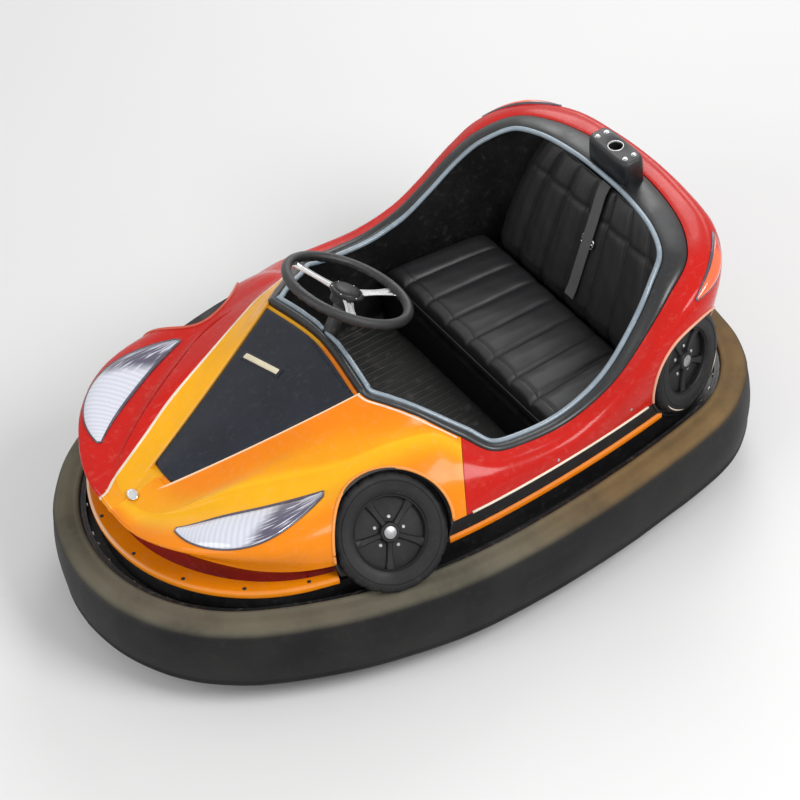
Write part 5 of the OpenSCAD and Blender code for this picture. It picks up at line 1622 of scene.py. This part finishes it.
def pad(name, face, normal, half_t, half_w, channels, floor=None):
    """Cushion with a crowned face, sewn channels along it and sides that pull in.

    face gives the middle line of the front face, normal the way it looks, both along the pad.
    """
    n, m = 90, 220
    a = np.sin(np.linspace(-1, 1, n) * math.pi / 2)
    a = np.sign(a) * np.abs(a) ** 0.8
    b = np.linspace(-1, 1, m)
    b = np.sign(b) * (1 - (1 - np.abs(b)) ** 1.25)
    share = (a + 1) / 2
    path = np.stack([np.interp(share, np.linspace(0, 1, len(face)), face[:, k]) for k in range(2)],
        1)
    look = unit(np.stack([np.interp(share, np.linspace(0, 1, len(normal)), normal[:, k])
        for k in range(2)], 1))
    h = np.interp(share, np.linspace(0, 1, len(half_t)), half_t)
    w = np.interp(share, np.linspace(0, 1, len(half_w)), half_w)
    A, B = a[:, None], b[None]
    full = ((1 - np.abs(A) ** 7) * (1 - np.abs(B) ** 14)) ** (1 / 2.6)
    pulled = w[:, None] - 3.0 * (1 - A ** 2)
    y = B * pulled
    lines = np.linspace(-1, 1, channels + 1)[1:-1]
    gap = np.min(np.abs(B[..., None] - lines) * w.mean(), -1)
    trench = np.exp(-(gap / 4.6) ** 2) * ease(full, 0.35, 0.8)
    cell = np.abs(np.sin((B + 1) / 2 * channels * math.pi)) ** 0.55
    cross = np.exp(-((A - 0.62) * 130 / 4.2) ** 2) * ease(full, 0.35, 0.8)
    soft = 0.8 * np.sin(B * 23 + A * 4) * np.sin(A * 9 + 1.3) + 0.5 * np.sin(B * 61 + 2 * A)
    lift = -7.5 + 7.2 * cell - 3.8 * trench - 2.6 * cross + soft * 0.7 - 1.0
    grids = []
    for s in (1, -1):
        off = h[:, None] * full * s + (lift * full if s > 0 else 0)
        mid = path - look * h[:, None]
        x = mid[:, 0:1] + look[:, 0:1] * off
        z = mid[:, 1:2] + look[:, 1:2] * off
        if floor is not None:
            z = np.maximum(z, floor)
        grids.append(np.stack([np.broadcast_to(x, y.shape), y, np.broadcast_to(z, y.shape)], -1))
    verts, faces, used = shell(*grids)
    crown = np.concatenate([(cell * (1 - cross)).ravel(), np.zeros(y.size)])[used]
    obj = piece(name, (verts, faces), "seat_vinyl", attrs={"crown": crown})
    bm = bmesh.new()
    bm.from_mesh(obj.data)
    bmesh.ops.remove_doubles(bm, verts=bm.verts[:], dist=0.0003)
    bm.to_mesh(obj.data)
    bm.free()
    loop = np.concatenate([np.stack([mid[:, 0], pulled[:, -1], mid[:, 1]], 1),
        np.stack([np.full(m, mid[-1, 0]), y[-1, ::-1], np.full(m, mid[-1, 1])], 1)[1:-1],
        np.stack([mid[::-1, 0], -pulled[::-1, -1], mid[::-1, 1]], 1),
        np.stack([np.full(m, mid[0, 0]), y[0], np.full(m, mid[0, 1])], 1)[1:-1]])
    keep = np.linalg.norm(loop - np.roll(loop, 1, 0), axis=1) > 0.5
    v, f = tube(loop[keep], 3.0, 8, closed=True, up=(look[n // 2, 0], 0.02, look[n // 2, 1]))
    piece(name + "_welt", (v, f), "seat_vinyl", attrs={"crown": np.full(len(v), 0.8)})
    return obj


class BUMPERCAR_OT_seat(bpy.types.Operator):
    """Makes the seat cushion, the backrest and the webbing strap"""
    bl_idname = "bumper_car.seat"
    bl_label = "Seat"

    def execute(self, context):
        s = np.linspace(2, 4.2, 300)
        edge = plan_xy(BODY_PLAN, s, 66.5)
        order = np.argsort(edge[:, 0])
        xs = np.array([-497.0, -440, -380, -320, -270, -238.5])
        half = np.interp(xs, edge[order, 0], edge[order, 1])
        face = np.stack([xs, np.full(len(xs), 283.8)], 1)
        up = np.tile([0.0, 1.0], (len(xs), 1))
        count = settings().sizes.pleats
        cushion = pad("seat_pad", face, up, np.full(len(xs), 38.4), half, count,
            floor=206.7)
        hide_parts("seat_cushion")
        line = np.array([(-502.5, 232), (-505, 284), (-522, 340), (-545, 403), (-575, 487),
            (-603.5, 565)])
        slope = unit(np.stack([np.gradient(line[:, 1]), -np.gradient(line[:, 0])], 1))
        half = np.array([306, 302, 298, 288, 262, 226.0])
        back = pad("back_pad", line, slope, np.array([24, 27, 27, 24, 18, 14.5]), half, count - 2)
        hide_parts("seat_back")
        # strap over the backrest, with its slide
        y0 = 8.0
        pts = np.array([(-607, 578), (-601, 572), (-590, 552), (-573, 500), (-553, 445),
            (-538, 402), (-524, 362), (-509, 320), (-497, 298)], float)
        t = np.linspace(0, 1, 80)
        run = np.stack([np.interp(t, np.linspace(0, 1, len(pts)), pts[:, k]) for k in (0, 1)], 1)
        kernel = np.ones(9) / 9
        for k in (0, 1):
            run[4:-4, k] = np.convolve(run[:, k], kernel, "same")[4:-4]
        out = unit(np.stack([np.gradient(run[:, 1]), -np.gradient(run[:, 0])], 1))
        across = span(-1, 1, 10)
        rows, lows = [], []
        for i, (p, o) in enumerate(zip(run, out)):
            y = y0 - 10 * t[i] + across * 15
            lift = 2.2 + 0.5 * (1 - across ** 2) + 0.5 * math.sin(7 * t[i])
            rows.append(np.stack([p[0] + o[0] * lift, y, p[1] + o[1] * lift], 1))
            lows.append(np.stack([p[0] + o[0] * (lift - 1.5), y, p[1] + o[1] * (lift - 1.5)], 1))
        verts, faces, used = shell(np.array(rows), np.array(lows))
        along = np.concatenate([np.repeat(t, 11)] * 2)[used]
        cross = np.concatenate([np.tile(across, 80)] * 2)[used]
        piece("seat_strap", (verts, faces), "webbing", sharp=50,
            attrs={"along": along, "across": cross})
        i = 42
        centre = np.array([run[i, 0] + out[i, 0] * 4, y0 - 10 * t[i], run[i, 1] + out[i, 1] * 4])
        along_v = unit(np.array([run[i + 1, 0] - run[i, 0], 0, run[i + 1, 1] - run[i, 1]]))
        q = circle(48)
        k = (np.abs(np.cos(q)) ** 6 + np.abs(np.sin(q)) ** 6) ** (-1 / 6)
        path = centre + (20 * k * np.cos(q))[:, None] * np.array([0, 1, 0]) + (11 * k
            * np.sin(q))[:, None] * along_v
        v, f = tube(path, 2.0, 10, closed=True, up=(out[i, 0], 0.01, out[i, 1]))
        bar = tube(centre + np.array([[0, -19, 0], [0, 0, 0], [0, 19, 0]]), 1.8)
        piece("strap_slide", joined([(v, f), bar]), "bright_metal")
        dress("seat_box", "black_moulding")
        dress("battery", "battery_case")
        return {"FINISHED"}


def clear_column(grid):
    """Moves points off the column tube where it passes the coaming and the dashboard."""
    rel = grid - HUB_AT
    along = rel @ HUB_AXIS
    off = rel - along[..., None] * HUB_AXIS
    dist = np.linalg.norm(off, axis=-1)
    push = np.where((along < 0) & (dist < COLUMN_ROOM), COLUMN_ROOM / np.maximum(dist, 0.1), 1.0)
    return grid + off * (push - 1)[..., None]


DASH_FOOT, DASH_BULGE, DASH_IN, DASH_DROP = 392, 14, -8.0, -10.6
LINER_FOOT = 106.5


class BUMPERCAR_OT_cockpit(bpy.types.Operator):
    """Makes the liner, the dashboard with its dials, the ribbed mat and the pedal's tread"""
    bl_idname = "bumper_car.cockpit"
    bl_label = "Cockpit"

    def execute(self, context):
        us = span(9.0, 33.0, 260)
        near, share = near_u(us), span(0, 1, 16)
        grids = []
        for inset in (-4.6, 0.0):
            hang = np.minimum(24, 8 + 5 * np.maximum(0, near - NOTCH_U))
            a = coaming_pt(near, hang + inset, np.full(len(near), -10.6))
            b = plan_xy(BODY_PLAN, row_at(near)[:, 6], 34 + inset)
            t = (share ** 0.8)[None, :, None]
            xy = (1 - t) * a[:, None, :2] + t * b[:, None]
            z = (1 - share)[None] * a[:, None, 2] + share[None] * LINER_FOOT
            rib = 1.3 * np.exp(-((share[None] - 0.5) * 16) ** 2) * (inset == 0)
            xy = xy - unit(b[:, None] * np.ones_like(xy)) * rib[..., None]
            g = np.concatenate([xy, z[..., None]], -1)
            g[..., 1] *= np.where(us > TAIL_U, -1, 1)[:, None]
            grids.append(g)
        piece("side_liner", shell(*grids), "liner_black", node="cockpit_liner",
            sharp=50)
        us = span(-5.78, 5.78, 150)
        share = span(0, 1, 20)
        c = coaming_pt(np.abs(us), DASH_IN, np.full(len(us), DASH_DROP), True)
        c[:, 1] *= np.where(us < 0, -1, 1)
        grids = []
        for ahead in (8.0, 0.0):
            x = c[:, None, 0] + ahead + (DASH_BULGE * share * (1 - share))[None]
            z = c[:, None, 2] + (DASH_FOOT - c[:, None, 2]) * share[None]
            hem = 1.6 * (ease(share, 0.93, 0.97) + ease(-share, -0.07, -0.03))[None] * (ahead == 0)
            g = np.stack([x - hem, np.broadcast_to(c[:, None, 1], x.shape), z], -1)
            grids.append(clear_column(g))
        piece("dash_panel", shell(*grids), "liner_black", node="dashboard",
            sharp=50)
        self.dials()
        self.floor()
        for node, finish_name in (("front_bulkhead", "liner_black"), ("floor_mat", "mat_rubber"),
                ("drive_drum", "steel_black"), ("pedal", "cast_metal")):
            dress(node, finish_name)
        k = np.radians(np.arange(12) * 30 + 15)
        pts = np.stack([DRIVE_X + 164 * np.cos(k), 164 * np.sin(k), np.full(12, 268.1)], 1)
        bolts("drum_screws", pts, (0, 0, 1), 4.2, 9)
        return {"FINISHED"}

    def dials(self):
        """Two gauges and two push knobs on the dashboard's face."""
        bright, pale, dark = [], [], []
        aim = np.array([-1.0, 0, 0])
        for u in (-0.72, -0.38, 0.38, 0.72):
            p = coaming_pt(abs(u), DASH_IN, DASH_DROP, True)
            at = np.array([p[0] + DASH_BULGE * 0.45 * 0.55, p[1] * (1 if u > 0 else -1), p[2]
                + (DASH_FOOT - p[2]) * 0.45])
            bright.append(lathe([(11.8, -2), (15, -2), (15.2, 5.4), (14.2, 7.0), (12.8, 7.2),
                (11.8, 5.6)], 56, at, aim))
            if abs(u) > 0.5:
                pale.append(lathe([(0.1, 1), (11.9, 1), (11.9, 4.6), (0.1, 5.2)], 48, at, aim))
                dark.append(lathe([(0.1, 4), (2.2, 4), (2.2, 6.4), (0.1, 7)], 20, at, aim))
            else:
                pale.append(lathe([(0.1, 1), (9.4, 1), (9.6, 9), (8.6, 11.4), (6, 12.4),
                    (0.1, 12.8)], 48, at, aim))
                dark.append(lathe([(9.6, 0.5), (11.9, 0.5), (11.9, 3), (9.6, 3)], 40, at, aim))
        piece("dial_bezels", joined(bright), "bright_metal", node="dash_dials",
            sharp=40)
        piece("dial_faces", joined(pale), "cream_plastic", sharp=40)
        piece("dial_pins", joined(dark), "black_moulding", sharp=40)

    def floor(self):
        """Ribs along the mat, and bars across the pedal's tread."""
        bar = ring(np.array([[(x, 0.5 * math.cos(a), 0.5 * math.sin(a))
            for a in np.linspace(0, math.pi, 7)] for x in (-0.5, -0.49, 0.49, 0.5)]), closed=False)
        edge = plan_xy(BODY_PLAN, np.linspace(0, 5, 1500), 48)
        pts, sizes = [], []
        for y in np.arange(-380, 381, 20.0):
            x1 = 325.0
            fit = edge[(np.abs(edge[:, 1] - abs(y)) < 4) & (edge[:, 0] > -240)]
            if abs(y) > edge[:, 1].max() - 3:
                continue
            if len(fit):
                x1 = min(x1, fit[:, 0].max() - 4)
            x0 = -223.0
            fit = edge[(np.abs(edge[:, 1] - abs(y)) < 4) & (edge[:, 0] < 100)]
            if len(fit) and fit[:, 0].max() > x0 and fit[:, 0].max() < 60:
                x0 = fit[:, 0].max() + 4
            if abs(y) < 182:
                x1 = min(x1, DRIVE_X - math.sqrt(183 ** 2 - min(abs(y), 182) ** 2) - 3)
            if x1 - x0 < 40:
                continue
            pts.append(((x0 + x1) / 2, y, 110.2))
            sizes.append((x1 - x0, 5.0, 3.2))
        repeated("mat_ribs", bar, pts, (0, 0, 1), "mat_rubber", size=1.0,
            sizes=sizes, spin=0.0)
        face = np.array([100.0, -225, 110.6])
        up, out = np.array([-0.5736, 0, 0.8192]), np.array([-0.8192, 0, -0.5736])
        pts = [face + np.array([0, 25, 0]) + up * d + out * 0.1 for d in (10, 22, 34, 46, 58)]
        across = np.array([[0, -21, 0], [0, 0, 0], [0, 21, 0]])
        piece("pedal_bars", joined([tube(p + across, 2.2) for p in pts]), "mat_rubber")


class BUMPERCAR_OT_running_gear(bpy.types.Operator):
    """Makes the tyres, the hub caps, the motor's fins and dresses the chassis"""
    bl_idname = "bumper_car.running_gear"
    bl_label = "Running gear"

    def execute(self, context):
        wheels = (("drive_wheel_tyre", "drive_wheel", (DRIVE_X, 0, 95), 95, 50, 95 * 0.66, 46),
            ("rear_tyre_left", "rear_wheel_left", (-400, 317.5, 75), 75, 45, 75 * 0.62, 40),
            ("rear_tyre_right", "rear_wheel_right", (-400, -317.5, 75), 75, 45, 75 * 0.62, 40))
        for node, body, at, r, w, rim, blocks in wheels:
            h = w / 2
            half = [(r - 9, h), (r - 4, h - 2.2), (r - 1.6, h - 5), (r - 0.4, h - 8),
                (r - 0.2, 7.6), (r - 3.4, 6.6), (r - 3.4, 4.6), (r - 0.1, 3.6)]
            section = ([(rim + 0.2, h - 1.5), (rim + 2.5, h - 0.3), (rim + 6, h - 0.8)] + half
                + [(a, -b) for a, b in half[::-1]] + [(rim + 6, -h + 0.8), (rim + 2.5, -h + 0.3),
                (rim + 0.2, -h + 1.5)])
            steps = blocks * 5
            v, f = lathe(section, steps, axis=(0, 1, 0))
            v = v.reshape(steps, len(section), 3)
            out = unit(v * np.array([1, 0, 1]))
            cut = (np.arange(steps) % 5 == 0)[:, None] & np.array([q[0] > r - 3 and abs(q[1]) > 7
                for q in section])[None]
            v = v - out * (2.6 * cut)[..., None]
            piece(node + "_tread", (v.reshape(-1, 3) + np.array(at), f), "tyre_black",
                body, node=node, sharp=45)
            dress(node.replace("tyre", "hub"), "cast_metal")
            out_side = -1 if "right" in node or "drive" in node else 1
            k = np.radians(np.arange(5) * 72)
            rr = (rim + 18) / 2
            pts = np.stack([rr * np.cos(k), np.full(5, out_side * (h - 14)), rr * np.sin(k)], 1)
            bolts(node + "_bolts", pts + np.array(at), (0, out_side, 0), 3.6, 4, body)
        for node, finish_name in (
                ("drive_fork", "steel_black"), ("drive_motor", "motor_grey"),
                ("rear_axle", "steel_black"), ("floor_pan", "steel_black"),
                ("cross_members", "steel_black"), ("chassis_wall", "black_moulding"),
                ("deck_flange", "steel_black"), ("waist_band", "black_moulding")):
            dress(node, finish_name)
        fin = lathe([(49.2, -1.2), (51.6, -0.8), (51.6, 0.8), (49.2, 1.2)], 72)
        at = np.array([DRIVE_X, 43.3, 95.0])
        pts = [at + np.array([0, d, 0]) for d in np.arange(12, 80, 7.5)]
        repeated("motor_fins", fin, pts, (0, 1, 0), "motor_grey", "drive_unit", 1.0,
            spin=0.0)
        k = np.radians(np.arange(4) * 90 + 45)
        pts = np.stack([30 * np.cos(k), np.full(4, 98.1), 30 * np.sin(k)], 1) + at
        bolts("motor_bolts", pts, (0, 1, 0), 3.4, 8, "drive_unit")
        pts = [(x + dx, y, 69.8) for x in (-610, -200, 480) for dx in (-14, 14)
            for y in np.arange(-300, 301, 120)]
        bolts("pan_bolts", pts, (0, 0, -1), 4.4, 12)
        return {"FINISHED"}


class BUMPERCAR_OT_screws(bpy.types.Operator):
    """Puts the screws along the rear body's foot and the lip"""
    bl_idname = "bumper_car.screws"
    bl_label = "Screws"

    def execute(self, context):
        size = settings().sizes.screw_r * 1000
        spots, aims = [], []
        for u in (12.4, 14.6, 16.2, 18.6, 20.2):
            for side in (1, -1):
                spots.append(sided(skin(u, 74.0), side))
                aims.append(sided(skin_normal(u, 74.0), side))
        spots, aims = np.array(spots), np.array(aims)
        keep = off_arches(spots, 8)
        repeated("body_screws", screw_head(), spots[keep], aims[keep], "cast_metal",
            size=size * 0.75, seed=21)
        pts = evenly(BODY_PLAN, 13.0, 28, 0.5)[0] + np.array([0, 0, LIP_TOP])
        keep = off_arches(pts, 8) & (pts[:, 0] > 260)
        repeated("lip_screws", screw_head(), pts[keep], (0, 0, 1), "steel_black",
            size=size, seed=22)
        return {"FINISHED"}


class BUMPERCAR_OT_stage(bpy.types.Operator):
    """Makes the floor, the world, the lamps and the camera"""
    bl_idname = "bumper_car.stage"
    bl_label = "Stage"

    def execute(self, context):
        cfg = settings().stage
        scene = context.scene
        eye = Vector(cfg.camera_place)
        aim = Vector(cfg.camera_aim)
        forward = (aim - eye).normalized()
        right = forward.cross(Vector((0, 0, 1))).normalized()
        up = right.cross(forward)
        turn = Matrix.Rotation(cfg.camera_roll, 3, forward)
        right, up = turn @ right, turn @ up
        cam = placed("view_camera", bpy.data.cameras.new("view_camera"))
        cam.data.lens = cfg.lens
        cam.data.sensor_width = 36.0
        cam.data.clip_end = 100.0
        cam.matrix_world = Matrix(((right.x, up.x, -forward.x, eye.x), (right.y, up.y, -forward.y,
            eye.y), (right.z, up.z, -forward.z, eye.z), (0, 0, 0, 1)))
        scene.camera = cam
        self.floor(cfg)
        self.world(scene, cfg)
        for name, place, size, power in (("key", (-1.4, 3.2, 3.8), 2.4, cfg.key_power),
                ("fill", (3.6, 0.4, 2.6), 3.0, cfg.key_power * 0.35), ("rim", (-2.8, -2.6, 3.0),
                2.4, cfg.key_power * 0.45)):
            data = bpy.data.lights.new(name, "AREA")
            data.shape = "DISK"
            data.size = size
            data.energy = power
            lamp = placed(name, data)
            lamp.location = place
            lamp.rotation_euler = (Vector((0, 0, 0.3)) - Vector(place)).to_track_quat("-Z",
                "Y").to_euler()
        scene.view_settings.view_transform = "Standard"
        return {"FINISHED"}

    def floor(self, cfg):
        """Pale floor that runs out to the horizon."""
        bm = bmesh.new()
        bmesh.ops.create_grid(bm, x_segments=8, y_segments=8, size=14.0)
        mesh = bpy.data.meshes.new("floor")
        bm.to_mesh(mesh)
        bm.free()
        floor = placed("floor", mesh)
        mat, tree, shader = new_material("studio_floor")
        place = put(tree, "ShaderNodeTexCoord").outputs["Object"]
        cloud = noise(tree, place, 1.2, 3.0)
        g = cfg.floor_grey
        colour = mixed(tree, cloud, (g * 0.98,) * 3, (g * 1.02,) * 3)
        finish(shader, tree, colour, band(tree, cloud, 0, 1, 0.75, 0.85))
        mesh.materials.append(mat)

    def world(self, scene, cfg):
        """Even sky that lights the car, and shows as white behind it."""
        world = bpy.data.worlds.new("studio")
        world.use_nodes = True
        tree = world.node_tree
        tree.nodes.clear()
        out = tree.nodes.new("ShaderNodeOutputWorld")
        path = put(tree, "ShaderNodeLightPath").outputs
        seen = larger(tree, path["Is Camera Ray"], larger(tree, path["Is Glossy Ray"],
            path["Is Transmission Ray"]))
        strength = band(tree, seen, 0, 1, cfg.sky, 1.0)
        back = put(tree, "ShaderNodeBackground", {"Color": (1, 1, 1, 1), "Strength": strength})
        tree.links.new(back.outputs[0], out.inputs[0])
        scene.world = world


class BumperCarSettings(bpy.types.PropertyGroup):
    """All settings of the car."""
    stage: bpy.props.PointerProperty(type=StageSettings, name="Stage",
        description="Camera, floor and light")
    paint: bpy.props.PointerProperty(type=PaintSettings, name="Paint",
        description="Colours of the mouldings")
    sizes: bpy.props.PointerProperty(type=SizeSettings, name="Sizes",
        description="Sizes of the small pieces")


class BUMPERCAR_PT_panel(bpy.types.Panel):
    """Lists the car's pieces in the sidebar"""
    bl_label = "Bumper car"
    bl_idname = "BUMPERCAR_PT_panel"
    bl_space_type = "VIEW_3D"
    bl_region_type = "UI"
    bl_category = "Bumper car"

    def draw(self, context):
        for op in OPERATORS:
            self.layout.operator(op.bl_idname)
        for group in (settings().stage, settings().paint, settings().sizes):
            for key in group.__annotations__:
                self.layout.prop(group, key)


OPERATORS = [BUMPERCAR_OT_stage, BUMPERCAR_OT_bodywork, BUMPERCAR_OT_nose, BUMPERCAR_OT_coaming,
    BUMPERCAR_OT_bumper, BUMPERCAR_OT_lamps, BUMPERCAR_OT_dummy_wheels, BUMPERCAR_OT_steering,
    BUMPERCAR_OT_seat, BUMPERCAR_OT_cockpit, BUMPERCAR_OT_running_gear, BUMPERCAR_OT_screws]
GROUPS = [StageSettings, PaintSettings, SizeSettings, BumperCarSettings]


def register():
    """Registers the settings, the operators and the panel."""
    for cls in GROUPS + OPERATORS + [BUMPERCAR_PT_panel]:
        bpy.utils.register_class(cls)
    bpy.types.Scene.bumper_car = bpy.props.PointerProperty(type=BumperCarSettings)


def unregister():
    """Takes everything out again."""
    del bpy.types.Scene.bumper_car
    for cls in reversed(GROUPS + OPERATORS + [BUMPERCAR_PT_panel]):
        bpy.utils.unregister_class(cls)


def main():
    """Makes the car piece by piece."""
    register()
    for op in OPERATORS:
        getattr(bpy.ops.bumper_car, op.bl_idname.split(".")[1])()


if __name__ == "__main__":
    main()
